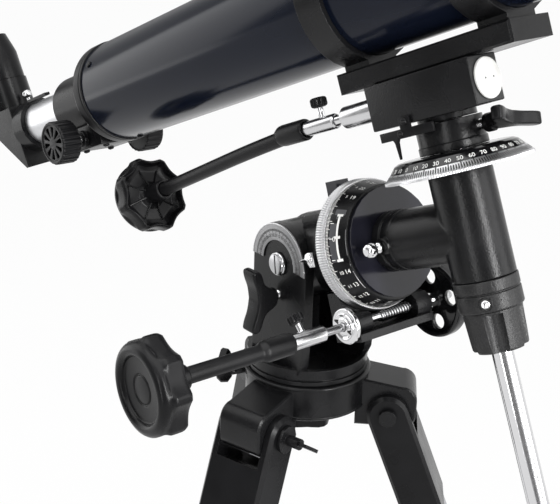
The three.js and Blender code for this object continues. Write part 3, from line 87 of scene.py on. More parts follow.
# Node materials, through one small class for shader arithmetic
class Socket:
    def __init__(self, tree, value=None):
        self.tree = tree
        self.value = value

    def node(self, kind, inputs=None, output=0, **settings):
        made = self.tree.nodes.new(kind)
        for key, setting in settings.items():
            setattr(made, key, setting)
        for key, given in (inputs or {}).items():
            slot = made.inputs[key]
            if isinstance(given, Socket):
                self.tree.links.new(given.value, slot)
            elif slot.type == "RGBA":
                slot.default_value = (*given, 1)
            else:
                slot.default_value = given
        return Socket(self.tree, made.outputs[output] if made.outputs else None)

    def maths(self, operation, first, second):
        return self.node("ShaderNodeMath", {0: first, 1: second}, operation=operation)

    def __add__(self, other):
        return self.maths("ADD", self, other)

    __radd__ = __add__

    def __mul__(self, other):
        return self.maths("MULTIPLY", self, other)

    __rmul__ = __mul__

    def __sub__(self, other):
        return self.maths("SUBTRACT", self, other)

    def __rsub__(self, other):
        return self.maths("SUBTRACT", other, self)

    def above(self, limit):
        return self.maths("GREATER_THAN", self, limit)

    def spread(self, low, high, toLow=0.0, toHigh=1.0):
        return self.node("ShaderNodeMapRange", {"Value": self, "From Min": low, "From Max": high,
                                                "To Min": toLow, "To Max": toHigh}, clamp=True)

    def blend(self, first, second):
        return self.node("ShaderNodeMix", {0: self, 6: first, 7: second}, output=2, data_type="RGBA")


class Finish:
    def __init__(self, name, metallic=0.0, **fixed):
        self.material = bpy.data.materials.new(name)
        self.material.use_nodes = True
        self.tree = self.material.node_tree
        self.shader = self.tree.nodes["Principled BSDF"]
        self.shader.inputs["Metallic"].default_value = metallic
        for key, value in fixed.items():
            self.shader.inputs[key.replace("_", " ")].default_value = value
        self.base = Socket(self.tree)
        self.place = self.base.node("ShaderNodeTexCoord", output="Object")

    def noise(self, scale, detail=2.0, stretch=None, output="Fac"):
        place = self.place
        if stretch:
            place = self.base.node("ShaderNodeMapping", {"Vector": place, "Scale": stretch})
        inputs = {"Vector": place, "Scale": scale, "Detail": detail}
        return self.base.node("ShaderNodeTexNoise", inputs, output=output)

    def cells(self, scale):
        inputs = {"Vector": self.place, "Scale": scale}
        return self.base.node("ShaderNodeTexVoronoi", inputs, output="Distance")

    def set(self, **given):
        for key, value in given.items():
            socket = self.shader.inputs[key.replace("_", " ")]
            if isinstance(value, Socket):
                self.tree.links.new(value.value, socket)
            elif isinstance(value, tuple):
                socket.default_value = (*value, 1)
            else:
                socket.default_value = value
        return self

    def bump(self, height, distance, edge=0.0):
        inputs = {"Height": height, "Distance": distance}
        if edge:
            inputs["Normal"] = self.base.node("ShaderNodeBevel", {"Radius": edge * unit}, samples=4)
        self.tree.links.new(self.base.node("ShaderNodeBump", inputs).value, self.shader.inputs["Normal"])
        return self


def paintFinish(name, color, rough, grain, depth, speck=0.0, shine=0.4, edge=0.0):
    made = Finish(name, Specular_IOR_Level=shine)
    cloud = made.noise(35, 3)
    fine = made.noise(grain, 2)
    low = tuple(c * 0.8 for c in color)
    high = tuple(c * 1.25 for c in color)
    tone = cloud.spread(0.35, 0.65).blend(low, high)
    if speck:
        fleck = made.cells(grain * 1.1).spread(0.0, 0.35, 1.0, 0.0)
        tone = (fleck * speck).blend(tone, (0.16, 0.155, 0.15))
    made.set(Base_Color=tone, Roughness=cloud.spread(0.3, 0.7, rough - 0.05, rough + 0.06))
    return made.bump(fine, depth, edge).material


def metalFinish(name, color, rough, stretch=None, scale=600, depth=0.00002, dull=0.08):
    made = Finish(name, metallic=1.0)
    fine = made.noise(scale, 3, stretch=stretch)
    cloud = made.noise(22, 3)
    tone = cloud.spread(0.3, 0.7).blend(tuple(c * 0.92 for c in color), color)
    made.set(Base_Color=tone, Roughness=fine.spread(0.3, 0.7, rough, rough + dull))
    return made.bump(fine, depth).material


looks = {
    "casting": paintFinish("satin_casting", (0.006, 0.006, 0.0065), 0.25, 1100, 0.00012, shine=0.22, edge=0.6),
    "sandy": paintFinish("sandy_casting", (0.012, 0.012, 0.0125), 0.40, 900, 0.00022, speck=0.2, shine=0.32),
    "plastic": paintFinish("moulded_plastic", (0.005, 0.005, 0.0055), 0.28, 1500, 0.00002,
                           shine=0.16, edge=0.5),
    "rubber": paintFinish("soft_rubber", (0.005, 0.005, 0.0055), 0.36, 1800, 0.00003, shine=0.18),
    "glossBlack": paintFinish("gloss_black", (0.004, 0.004, 0.0045), 0.10, 300, 0.000002, shine=0.4),
    "disc": paintFinish("polished_black", (0.009, 0.009, 0.0135), 0.10, 300, 0.000001, shine=0.17),
    "ink": paintFinish("black_ink", (0.010, 0.010, 0.010), 0.5, 900, 0.00001),
    "mark": paintFinish("white_print", (0.80, 0.80, 0.78), 0.5, 900, 0.00001),
    "scale": metalFinish("scale_plate", (0.30, 0.30, 0.305), 0.42),
    "darkScale": paintFinish("dark_scale", (0.05, 0.051, 0.055), 0.45, 900, 0.00002),
    "chrome": metalFinish("polished_chrome", (0.72, 0.72, 0.73), 0.08, depth=0.000003, dull=0.04),
    "satin": metalFinish("satin_chrome", (0.66, 0.66, 0.67), 0.20, depth=0.000004, dull=0.04),
    "steel": metalFinish("machined_steel", (0.50, 0.50, 0.51), 0.18, depth=0.000005, dull=0.05),
    "rib": metalFinish("ribbed_aluminium", (0.64, 0.64, 0.65), 0.28, depth=0.000006),
    "drawn": metalFinish("drawn_aluminium", (0.70, 0.705, 0.72), 0.3, stretch=(1, 1, 0.08), scale=900),
    "legs": metalFinish("leg_aluminium", (0.40, 0.405, 0.42), 0.34, stretch=(1, 1, 0.05), scale=700),
    "white": paintFinish("white_plastic", (0.58, 0.58, 0.565), 0.35, 900, 0.00001),
}

gloss = Finish("navy_gloss", Specular_IOR_Level=0.16)
wave = gloss.noise(6, 2)
navyTone = wave.spread(0.3, 0.7).blend((0.0030, 0.0045, 0.0100), (0.0045, 0.0065, 0.0135))
gloss.set(Base_Color=navyTone, Roughness=0.16)
looks["navy"] = gloss.bump(wave, 0.00005).material

clear = Finish("coated_lens", Transmission_Weight=1.0, IOR=1.5)
tint = clear.noise(12, 1)
clear.set(Base_Color=tint.spread(0.3, 0.7).blend((0.72, 0.90, 0.84), (0.80, 0.86, 0.92)), Roughness=0.02)
looks["lens"] = clear.material
print("materials made")


# Meshes in a frame's millimetres: every maker returns its points and faces
def along(at, direction, turn=0.0):
    direction = Vector(direction).normalized()
    pointed = direction.to_track_quat("Z", "Y").to_matrix().to_4x4()
    return Matrix.Translation(Vector(at)) @ pointed @ Matrix.Rotation(turn, 4, "Z")


def moved(shape, matrix):
    points, faces = shape
    return [matrix @ Vector(p) for p in points], faces


def together(*shapes):
    points, faces = [], []
    for shapePoints, shapeFaces in shapes:
        start = len(points)
        points.extend(shapePoints)
        faces.extend([[start + i for i in face] for face in shapeFaces])
    return points, faces


def ringFaces(rows, steps, ends=True, wraps=False):
    faces = []
    for row in range(rows if wraps else rows - 1):
        low, high = row * steps, (row + 1) % rows * steps
        for i in range(steps):
            after = (i + 1) % steps
            faces.append([low + i, low + after, high + after, high + i])
    if ends:
        faces.append(list(range(steps))[::-1])
        faces.append([(rows - 1) * steps + i for i in range(steps)])
    return faces


def rounded(profile, radius, segments=3, straight=2.9):
    result = [profile[0]]
    for before, corner, after in zip(profile, profile[1:], profile[2:]):
        a, b, c = Vector(before), Vector(corner), Vector(after)
        reach = min(radius, (a - b).length * 0.45, (c - b).length * 0.45)
        if reach < 0.02 or (a - b).angle(c - b, math.pi) > straight:
            result.append(corner)
            continue
        start = b + (a - b).normalized() * reach
        end = b + (c - b).normalized() * reach
        for i in range(segments + 1):
            t = i / segments
            result.append(tuple(start * (1 - t) ** 2 + b * 2 * t * (1 - t) + end * t ** 2))
    result.append(profile[-1])
    return result


def turned(profile, steps=96, radius=0.5, swell=None):
    line = rounded(profile, radius)
    ring = line[0][0] > 0 or line[-1][0] > 0
    points = []
    for reach, height in line:
        for i in range(steps):
            angle = 2 * math.pi * i / steps
            r = reach * (swell(angle, reach, height) if swell else 1)
            points.append(Vector((r * math.cos(angle), r * math.sin(angle), height)))
    return points, ringFaces(len(line), steps, False, ring)


def extruded(outline, low, high, bevel=0.0, segments=2):
    mesh = bmesh.new()
    bottom = [mesh.verts.new((x, y, low)) for x, y in outline]
    face = mesh.faces.new(bottom)
    grown = bmesh.ops.extrude_face_region(mesh, geom=[face])
    top = [g for g in grown["geom"] if isinstance(g, bmesh.types.BMVert)]
    bmesh.ops.translate(mesh, verts=top, vec=(0, 0, high - low))
    bmesh.ops.recalc_face_normals(mesh, faces=mesh.faces)
    return bevelled(mesh, bevel, segments)


def bevelled(mesh, bevel, segments=2, limit=0.6):
    if bevel:
        edges = [e for e in mesh.edges if len(e.link_faces) == 2 and e.calc_face_angle(0) > limit]
        bmesh.ops.bevel(mesh, geom=edges, offset=bevel, segments=segments, profile=0.6, affect="EDGES",
                        clamp_overlap=True)
    mesh.verts.index_update()
    result = [v.co.copy() for v in mesh.verts], [[v.index for v in f.verts] for f in mesh.faces]
    mesh.free()
    return result


def box(low, high, bevel=0.5):
    outline = [(low[0], low[1]), (high[0], low[1]), (high[0], high[1]), (low[0], high[1])]
    return extruded(outline, low[2], high[2], bevel)


def swept(path, radius, steps=24):
    points = []
    path = [Vector(p) for p in path]
    for i, centre in enumerate(path):
        tangent = (path[min(i + 1, len(path) - 1)] - path[max(i - 1, 0)]).normalized()
        side = tangent.cross(Vector((0, 1, 0))).normalized()
        up = side.cross(tangent)
        reach = radius(i / (len(path) - 1)) if callable(radius) else radius
        for k in range(steps):
            angle = 2 * math.pi * k / steps
            points.append(centre + side * reach * math.cos(angle) + up * reach * math.sin(angle))
    return points, ringFaces(len(path), steps)


def smoothPath(stops, count):
    curve = []
    stops = [Vector(s) for s in stops]
    padded = [stops[0] * 2 - stops[1], *stops, stops[-1] * 2 - stops[-2]]
    for i in range(count + 1):
        t = i / count * (len(stops) - 1)
        k = min(int(t), len(stops) - 2)
        f = t - k
        a, b, c, d = padded[k:k + 4]
        curve.append(0.5 * (2 * b + (c - a) * f + (2 * a - 5 * b + 4 * c - d) * f ** 2
                            + (3 * b - a - 3 * c + d) * f ** 3))
    return curve


def piece(name, parts, frameName, body, stands=(), angle=35):
    mesh = bpy.data.meshes.new(name)
    matrix = frames[frameName]
    points, faces, slots = [], [], []
    for look, shape in parts:
        if looks[look].name not in mesh.materials:
            mesh.materials.append(looks[look])
        index = mesh.materials.find(looks[look].name)
        start = len(points)
        points.extend(matrix @ Vector(p) for p in shape[0])
        faces.extend([start + i for i in face] for face in shape[1])
        slots.extend([index] * len(shape[1]))
    mesh.from_pydata(points, [], faces)
    mesh.polygons.foreach_set("material_index", slots)
    work = bmesh.new()
    work.from_mesh(mesh)
    bmesh.ops.remove_doubles(work, verts=work.verts, dist=1e-7)
    bmesh.ops.dissolve_degenerate(work, edges=work.edges, dist=1e-7)
    bmesh.ops.recalc_face_normals(work, faces=work.faces)
    work.to_mesh(mesh)
    work.free()
    mesh.polygons.foreach_set("use_smooth", [True] * len(mesh.polygons))
    mesh.set_sharp_from_angle(angle=math.radians(angle))
    made = bpy.data.objects.new(name, mesh)
    bpy.context.scene.collection.objects.link(made)
    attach(made, body)
    if stands:
        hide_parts(*stands)
    return made


# Printed marks: ticks and numbers laid on a cone, disc or plane
glyphs = {}


def glyph(text):
    if text not in glyphs:
        curve = bpy.data.curves.new("glyph", "FONT")
        curve.body = text
        curve.align_x = "CENTER"
        curve.align_y = "CENTER"
        curve.size = 1.0
        holder = bpy.data.objects.new("glyph", curve)
        bpy.context.scene.collection.objects.link(holder)
        bpy.context.view_layer.update()
        mesh = bpy.data.meshes.new_from_object(holder.evaluated_get(bpy.context.evaluated_depsgraph_get()))
        glyphs[text] = [tuple(v.co) for v in mesh.vertices], [list(p.vertices) for p in mesh.polygons]
        bpy.data.objects.remove(holder)
        bpy.data.curves.remove(curve)
        bpy.data.meshes.remove(mesh)
    return glyphs[text]


class ConeBand:
    def __init__(self, first, second, lift):
        self.first, self.second = Vector(first), Vector(second)
        self.slant = (self.second - self.first).length
        out = (self.second - self.first).normalized()
        self.normal = Vector((out.y, -out.x))
        if self.normal.x < 0 or (abs(self.normal.x) < 1e-6 and self.normal.y < 0):
            self.normal = -self.normal
        self.lift = lift

    def at(self, angle, share, lift=None):
        flat = self.first.lerp(self.second, share) + self.normal * (self.lift if lift is None else lift)
        return Vector((flat.x * math.cos(angle), flat.x * math.sin(angle), flat.y))

    def tick(self, angle, width, fromShare, toShare):
        reach = self.first.lerp(self.second, (fromShare + toShare) / 2).x
        half = width / 2 / reach
        return ([self.at(angle - half, fromShare), self.at(angle + half, fromShare),
                 self.at(angle + half, toShare), self.at(angle - half, toShare)], [[0, 1, 2, 3]])

    def band(self, fromAngle, toAngle, fromShare, toShare, steps=64):
        points, faces = [], []
        for i in range(steps + 1):
            angle = fromAngle + (toAngle - fromAngle) * i / steps
            points += [self.at(angle, fromShare), self.at(angle, toShare)]
        for i in range(steps):
            faces.append([2 * i, 2 * i + 1, 2 * i + 3, 2 * i + 2])
        return points, faces

    def text(self, words, angle, share, size, flip=1, turn=0.0):
        points, faces = glyph(words)
        reach = self.first.lerp(self.second, share).x
        placed = []
        for x, y, _ in points:
            dx = (x * math.cos(turn) - y * math.sin(turn)) * size
            dy = (x * math.sin(turn) + y * math.cos(turn)) * size
            placed.append(self.at(angle + flip * dx / reach, share + dy / self.slant))
        return placed, faces


# Right-ascension wheel, its circle and the grey disc
print("polar axis")
raWheel = {"teeth": 160, "toothDepth": 0.5, "steps": 6}


def toothed(values, fromReach=0.0):
    def swell(angle, reach, height):
        if reach < fromReach:
            return 1
        return 1 - values["toothDepth"] / reach * (0.5 + 0.5 * math.cos(values["teeth"] * angle)) ** 2
    return swell


wheelProfile = [(10, -87.6), (40.4, -87.6), (40.4, -87), (40, -86.4), (39.2, -85.2), (39.1, -84), (39.2, -82.8),
                (39.9, -81.6), (39.4, -80.3), (10, -80.3)]
piece("ra_wheel_ribbed", [("rib", turned(wheelProfile, raWheel["teeth"] * raWheel["steps"], 0.15,
                                         toothed(raWheel, 30)))], "polar", "ra_drive",
      ["ra_wheel"], angle=50)

circle = {"hours": 24, "ticks": 288, "number": 4.0, "lower": 3.0}
cone = ConeBand((39, -80), (34.4, -66.3), 0.06)
circleBody = turned([(10, -80), (39, -80), (34.4, -66.3), (10, -66.3)], 128, 0.35)
marks = []
for i in range(circle["ticks"]):
    angle = 2 * math.pi * i / circle["ticks"]
    long = 0.26 if i % 12 == 0 else (0.20 if i % 6 == 0 else 0.14)
    marks.append(cone.tick(angle, 0.30, 0.02, long))
for hour in range(circle["hours"]):
    angle = math.radians(48) - 2 * math.pi * hour / circle["hours"]
    if not 130 < math.degrees(angle) % 360 < 190:
        marks.append(cone.text(str(hour), angle, 0.72, circle["number"], turn=math.pi / 2))
        marks.append(cone.text(str((24 - hour) % 24), angle, 0.42, circle["lower"], turn=math.pi / 2))
patch = cone.band(math.radians(152), math.radians(187), 0.2, 0.52)
pointed = together(cone.band(math.radians(138), math.radians(144), 0.3, 0.8),
                   cone.band(math.radians(144), math.radians(148), 0.42, 0.66))
upper = ConeBand((39, -80), (34.4, -66.3), 0.12)
for at in (144, 165, 186):
    marks.append(upper.band(math.radians(at - 1.2), math.radians(at + 1.2), 0.44, 0.72, 4))
for at in (152, 166, 185):
    marks.append(upper.tick(math.radians(at), 0.4, 0.2, 0.36))
marks.append(upper.text("0", math.radians(166.5), 0.42, circle["number"], turn=math.pi / 2))
marks.append(upper.band(math.radians(144), math.radians(186), 0.52, 0.61))
# The chrome band along the circle's wide edge, from 158 to 220 degrees, is a painted highlight.
piece("ra_circle_dial", [("plastic", circleBody), ("mark", together(*marks)),
                         ("darkScale", together(patch, pointed)),
                         ("chrome", cone.band(math.radians(158), math.radians(220), 0.955, 0.985))],
      "polar", "ra_circle", ["ra_circle"])


# CAD nodes that stay: a finish, and shading that is smooth across the facets of a round face
def softShading():
    tree = bpy.data.node_groups.new("soft_shading", "GeometryNodeTree")
    for way in ("INPUT", "OUTPUT"):
        tree.interface.new_socket("Geometry", in_out=way, socket_type="NodeSocketGeometry")
    source = Socket(tree).node("NodeGroupInput")
    merged = source.node("GeometryNodeMergeByDistance", {"Geometry": source, "Distance": 0.00001})
    smooth = source.node("GeometryNodeSetShadeSmooth", {"Geometry": merged}, domain="FACE")
    steep = source.node("GeometryNodeInputMeshEdgeAngle").above(math.radians(32))
    creased = source.node("GeometryNodeSetShadeSmooth",
                          {"Geometry": smooth, "Selection": steep, "Shade Smooth": False}, domain="EDGE")
    source.node("NodeGroupOutput", {0: creased})
    return tree


shading = softShading()


def carry(look, *names):
    for name in names:
        node = frame["nodes"][name]
        node.data.materials.clear()
        node.data.materials.append(looks[look])
        if "custom_normal" in node.data.attributes:
            node.data.attributes.remove(node.data.attributes["custom_normal"])
        modifier = node.modifiers.new("soft_shading", "NODES")
        modifier.node_group = shading


carry("disc", "ra_disc", "ra_clutch_screw")
carry("casting", "tripod_hub", "azimuth_base", "polar_housing", "saddle", "tube_ring_1", "tube_ring_2",
      "counterweight")
carry("plastic", "hub_bolt", "azimuth_lock", "counterweight_screw", "leg_head_1", "leg_head_2", "leg_head_3",
      "leg_clamp_1", "leg_clamp_2", "leg_clamp_3", "star_diagonal", "eyepiece")
carry("legs", "upper_leg_1", "upper_leg_2", "upper_leg_3", "lower_leg_1", "lower_leg_2", "lower_leg_3")
carry("chrome", "latitude_jack", "balance_bar")
carry("navy", "dew_shield")
carry("lens", "objective_lens")

# Head casting with its end collar
print("head casting")
xAxis, yAxis, zAxis = Vector((1, 0, 0)), Vector((0, 1, 0)), Vector((0, 0, 1))


def onX(at=(0, 0, 0)):
    return Matrix.Translation(Vector(at)) @ Matrix(((0, 0, 1), (1, 0, 0), (0, 1, 0))).to_4x4()


housing = turned([(8, -25.4), (17.1, -25.4), (17.5, -24.9), (17.5, 33.7), (8, 33.7)], 112, 0.4)
collar = turned([(8, -42.4), (17.5, -42.4), (18, -41.6), (18, -33.1), (17.2, -32.9), (17.2, -32.2), (18, -31.9),
                 (18, -26.0), (17.6, -25.6), (8, -25.6)], 112, 0.3)
barrel = turned([(0, -118), (9.7, -118), (9.7, -63.7), (17.6, -63.7), (18, -63.2), (18, -57.9), (17.1, -57.6),
                 (17.1, -56.6), (18, -56.3), (18, -50), (17.7, -49.7), (17.7, 0), (0, 0)], 112, 0.3)
boss = turned([(2.6, 10), (5.2, 10), (5.2, 18.4), (4.6, 19.8), (2.6, 19.8)], 40, 0.5)
setTurn = math.radians(-55.6)
setPlace = along((0, 0, -37.5), (math.cos(setTurn), math.sin(setTurn), 0))
setScrew = [("casting", turned([(3.1, 17), (3.9, 17), (3.9, 18.0), (3.5, 18.3), (3.1, 18.1)], 48, 0.15)),
            ("ink", turned([(0, 17.5), (3.15, 17.5), (3.15, 18.06), (0, 18.06)], 40, 0.05)),
            ("chrome", turned([(0, 17.6), (2.3, 17.6), (2.3, 18.5), (1.9, 18.8), (1.1, 18.8), (0.9, 18.4),
                               (0, 18.4)], 40, 0.15))]
piece("head_casting", [("casting", housing), ("sandy", collar), ("casting", moved(barrel, onX())),
                       ("casting", moved(boss, along((-53.5, 0, 0.4), -yAxis)))]
      + [(look, moved(shape, setPlace)) for look, shape in setScrew],
      "head", "head", ["head_housing"])
lockScrew = turned([(0, 16), (2.2, 16), (2.2, 21.4), (3.3, 21.8), (3.3, 23.2), (2.3, 23.7), (2.3, 24.6),
                    (3.2, 25.2), (4.3, 26.6), (4.6, 28.4), (4.1, 30.6), (2.7, 31.9), (0, 32.2)], 40, 0.6)
piece("head_lock", [("chrome", moved(lockScrew, along((-53.5, 0, 0.4), -yAxis)))],
      "head", "head_lock",
      ["head_lock_screw"])


def screwHead(at, direction, radius, height=1.2, look="chrome", slots=2):
    head = turned([(0, 0), (radius, 0), (radius, height * 0.6), (radius * 0.7, height), (0, height * 1.05)],
                  28, 0.2)
    parts = [(look, moved(head, along(at, direction)))]
    for i in range(slots):
        half, wide = radius * 0.7, radius * 0.12
        slot = box((-half, -wide, height * 0.95), (half, wide, height * 1.12), 0)
        parts.append(("ink", moved(slot, along(at, direction, i * math.pi / 2))))
    return parts


# Declination circle: toothed silver rim, slanted scale, black band with numbers, and a glossy dome
print("declination axis")
dial = {"teeth": 180, "toothDepth": 0.4, "ticks": 180, "number": 3.5}
rimShape = turned([(8, 41.2), (20, 41.2), (31.5, 40.4), (37.6, 35.4), (38.5, 34), (40.5, 34), (40.4, 35.4),
                   (39.4, 36.1), (36.7, 39.1), (8, 41.3)], 1080, 0.15, toothed(dial, 39))
domeShape = turned([(8, 41.3), (36.66, 39.1), (34, 42.3), (33.4, 43.1), (31, 44.2), (28, 44.6), (8, 44.6)],
                   128, 0.3)
dialCone = ConeBand((39.45, 36.1), (36.7, 39.15), 0.08)
numberCone = ConeBand((36.7, 39.1), (33.9, 42.4), 0.08)
marks, numbers = [], []
for i in range(dial["ticks"]):
    angle = 2 * math.pi * i / dial["ticks"]
    marks.append(dialCone.tick(angle, 0.62, 0.02, 0.97 if i % 5 == 0 else 0.72))
for i in range(36):
    angle = 2 * math.pi * i / 36
    degrees = abs((i * 10 + 190) % 180 - 90)
    numbers.append(numberCone.text(str(degrees), angle, 0.5, dial["number"]))
piece("dec_circle_dial", [("rib", rimShape), ("glossBlack", domeShape), ("ink", together(*marks)),
                          ("mark", together(*numbers))], "sight", "dec_circle",
      ["dec_circle"])

clutchRing = turned([(8, 44.9), (18.8, 44.9), (18.8, 49), (18.2, 49.4), (18.2, 60.5), (8, 60.5)], 112, 0.35)
piece("dec_clutch_ring", [("casting", clutchRing)], "sight", "dec_clutch", ["dec_clutch"])
leverAngle, leverTilt = math.radians(5), math.radians(12)
leverAxis = Vector((math.cos(leverAngle), math.sin(leverAngle), 0))
leverAt = Vector((0, 0, 54.4))
thread = [(0, 14)]
for i in range(9):
    thread += [(2.6, 14.6 + i * 1.2), (3.05, 15.2 + i * 1.2)]
thread += [(2.6, 25.6), (0, 25.6)]
bowSide = [(11, 0), (10.4, 3.6), (8, 6), (3, 8.5), (0.2, 12), (-1.5, 17), (-3.4, 20), (-6, 20.8), (-8.6, 19.6),
           (-8, 15), (-5.5, 8), (-4.2, 0)]


def skinned(rows):
    return [p for row in rows for p in row], ringFaces(len(rows), len(rows[0]))


def bowHandle(depth):
    line = smoothPath([(x, y, 0) for x, y in bowSide], 48)
    mirrored = [(p.x, -p.y) for p in reversed(line[1:-1])]
    return extruded([(p.x, p.y) for p in line] + mirrored, -depth, depth, 1.6, 4)


inwardAxis = -leverAxis
wingAxis = zAxis.cross(leverAxis) * math.cos(leverTilt) - zAxis * math.sin(leverTilt)
bowPlace = Matrix((inwardAxis, wingAxis, inwardAxis.cross(wingAxis))).transposed().to_4x4()
bowPlace = Matrix.Translation(leverAt + leverAxis * 34.4) @ bowPlace
piece("dec_clutch_handle", [("chrome", moved(turned(thread, 32, 0.1), along(leverAt, leverAxis))),
                            ("plastic", moved(bowHandle(3.5), bowPlace)),
                            ("plastic", moved(turned([(0, 22), (4.6, 22), (5, 23), (5, 27), (0, 27)], 40, 0.4),
                                              along(leverAt, leverAxis)))],
      "sight", "dec_lever", ["dec_clutch_lever"], angle=50)

block = box((-30, -26, 63.8), (39.4, -2, 88.2), 0.9)
turret = turned([(0, 60.8), (16, 60.8), (16, 88.2), (0, 88.2)], 96, 0.4)
bushing = turned([(3.3, -58), (5.9, -58), (6.4, -57.4), (6.4, -29), (3.3, -29)], 56, 0.3)
lineSight = onX((0, -14, 76))
shaftStub = turned([(0, -59.7), (7.7, -59.7), (7.7, 61), (0, 61)], 64, 0.3)
blockParts = [("casting", block), ("casting", turret),
              ("satin", moved(bushing, lineSight)), ("steel", shaftStub)]
blockParts.append(("sandy", box((39.0, -25.4, 64.4), (39.55, -2.6, 87.6), 0.2)))
piece("dec_worm_block", blockParts, "sight", "sight", ["dec_block"])
capShape = turned([(0, 39.7), (10.0, 39.7), (10.5, 40.1), (10.5, 41.2), (9.9, 41.7), (0, 41.7)], 64, 0.3)
capParts = [("white", moved(capShape, lineSight))]
for side in (-1, 1):
    capParts.append(("ink", moved(turned([(0, 41.69), (0.5, 41.69), (0.5, 41.78), (0, 41.78)], 16, 0.02),
                                  onX((0, -14 + 3.4 * side, 76)))))
piece("dec_end_cap", capParts, "sight", "sight", ["dec_cap"])


# Plates cut from outlines, with holes and eased edges
def plate(outlines, low, high, bevel=0.3):
    curve = bpy.data.curves.new("plate", "CURVE")
    curve.dimensions = "2D"
    curve.fill_mode = "BOTH"
    curve.extrude = (high - low) / 2 - bevel
    curve.bevel_depth = bevel
    curve.bevel_resolution = 1
    curve.offset = -bevel
    for outline in outlines:
        spline = curve.splines.new("POLY")
        spline.points.add(len(outline) - 1)
        for stop, (x, y) in zip(spline.points, outline):
            stop.co = (x, y, 0, 1)
        spline.use_cyclic_u = True
    holder = bpy.data.objects.new("plate", curve)
    bpy.context.scene.collection.objects.link(holder)
    bpy.context.view_layer.update()
    mesh = bpy.data.meshes.new_from_object(holder.evaluated_get(bpy.context.evaluated_depsgraph_get()))
    lift = Vector((0, 0, (low + high) / 2))
    shape = [v.co + lift for v in mesh.vertices], [list(p.vertices) for p in mesh.polygons]
    bpy.data.objects.remove(holder)
    bpy.data.curves.remove(curve)
    bpy.data.meshes.remove(mesh)
    return shape


def ringOutline(radius, steps=64, centre=(0, 0)):
    turns = [2 * math.pi * i / steps for i in range(steps)]
    return [(centre[0] + radius * math.cos(turn), centre[1] + radius * math.sin(turn)) for turn in turns]


def arcOutline(centre, radius, start, end, steps):
    return [(centre[0] + radius * math.cos(start + (end - start) * i / steps),
             centre[1] + radius * math.sin(start + (end - start) * i / steps)) for i in range(steps + 1)]


def onY(at=(0, 0, 0), side=-1):
    return Matrix.Translation(Vector(at)) @ Matrix(((1, 0, 0), (0, 0, side), (0, -side, 0))).to_4x4()


# Pointer over the declination circle: a bar with a tapered needle and a tab on the block
barOutline = [(-24.7, 57), (-16.6, 57), (-15.7, 55.4), (-14.9, 46.4), (-14.1, 46.4), (-13.3, 55.4),
              (-12.4, 57), (11.5, 57), (11.5, 62), (-3, 62), (-3, 68), (-10, 68), (-10, 62), (-24.7, 62)]
barPlace = onY((0, -26.3, 0), -1)
pointerBar = [("plastic", moved(extruded(barOutline, 0, 1.6, 0.35), barPlace))]
for at in ((-10.4, -27.9, 59.5), (-6.5, -27.9, 65.4)):
    pointerBar += screwHead(at, (0, -1, 0), 1.9, 1.0, "plastic", 1)
piece("dec_pointer_bar", pointerBar, "sight", "sight", ["dec_pointer"])


# Worm gear shafts, ring nut, sleeves and flexible shafts
print("slow-motion controls")
wormLine = {"n": -43.3, "z": -84, "core": 2.5, "crest": 3.9, "pitch": 2.2, "from": -5, "to": 17.2}
raLine = onX((0, wormLine["n"], wormLine["z"]))


def helix(values, steps=28, rowsPerPitch=14):
    length = values["to"] - values["from"]
    rows = round(length / values["pitch"] * rowsPerPitch)
    points = []
    for row in range(rows + 1):
        height = values["from"] + length * row / rows
        for i in range(steps):
            angle = 2 * math.pi * i / steps
            phase = (height - values["from"]) / values["pitch"] - i / steps
            ridge = min(1, max(0, 0.5 + 0.85 * math.cos(2 * math.pi * phase)))
            reach = values["core"] + (values["crest"] - values["core"]) * ridge
            points.append(Vector((reach * math.cos(angle), reach * math.sin(angle), height)))
    return points, ringFaces(rows + 1, steps)


def flatted(flat):
    def swell(angle, reach, height):
        return min(1, flat / max(0.001, abs(math.sin(angle)) * reach)) if reach > flat else 1
    return swell


wormShaft = turned([(0, -58), (2.5, -58), (2.5, -6.2), (3.5, -6.0), (3.5, -5.0), (2.5, -4.9), (2.5, 55),
                    (0, 55)], 48, 0.2)
wormEnd = turned([(0, -80), (2.5, -80), (2.5, -57), (0, -57)], 48, 0.2, flatted(2.1))
piece("ra_worm_screw", [("steel", moved(helix(wormLine), raLine)), ("steel", moved(wormShaft, raLine)),
                        ("steel", moved(wormEnd, raLine))], "polar", "ra_control", ["ra_worm"])

ringNut = {"slots": 2, "slotTurn": math.radians(55)}
nutShape = turned([(2.9, 0), (10.4, 0), (11, 0.6), (11, 3.0), (10.4, 3.6), (8.1, 3.6), (8, 4.8), (7.4, 4.8),
                   (6.2, 4.1), (5.4, 4.1), (4.9, 4.8), (2.9, 4.8)], 96, 0.25)
nutPlace = raLine @ Matrix.Translation((0, 0, -30)) @ Matrix.Rotation(math.pi, 4, "X")
# The nut's slots are not cut: thin black ink strips on its chrome face are painted shade in their place.
nutSlotShade = box((-7.9, -0.7, 4.72), (-4.2, 0.7, 4.86), 0.05)
slotTurns = [ringNut["slotTurn"] + 2 * math.pi * i / ringNut["slots"] for i in range(ringNut["slots"])]
nutSlotShades = [moved(nutSlotShade, nutPlace @ Matrix.Rotation(turn, 4, "Z")) for turn in slotTurns]
piece("ra_nut", [("chrome", moved(nutShape, nutPlace)), ("ink", together(*nutSlotShades))],
      "polar", "polar",
      ["ra_ring_nut"])


def knurled(count, depth):
    def swell(angle, reach, height):
        return 1 - depth / max(reach, 0.1) * (0.5 + 0.5 * math.cos(count * angle)) if reach > 3.5 else 1
    return swell


def thumbScrew(place, look="plastic", base=4.0):
    shank = turned([(0, base), (1.9, base), (1.9, 10.4), (0, 10.4)], 32, 0.2)
    head = turned([(0, 10), (3.2, 10), (4.5, 10.6), (5, 11.4), (5, 14.8), (4.4, 15.6), (2.9, 16), (2.6, 15.5),
                   (0, 15.4)], 96, 0.3, knurled(16, 0.55))
    return [("chrome", moved(shank, place)), (look, moved(head, place))]


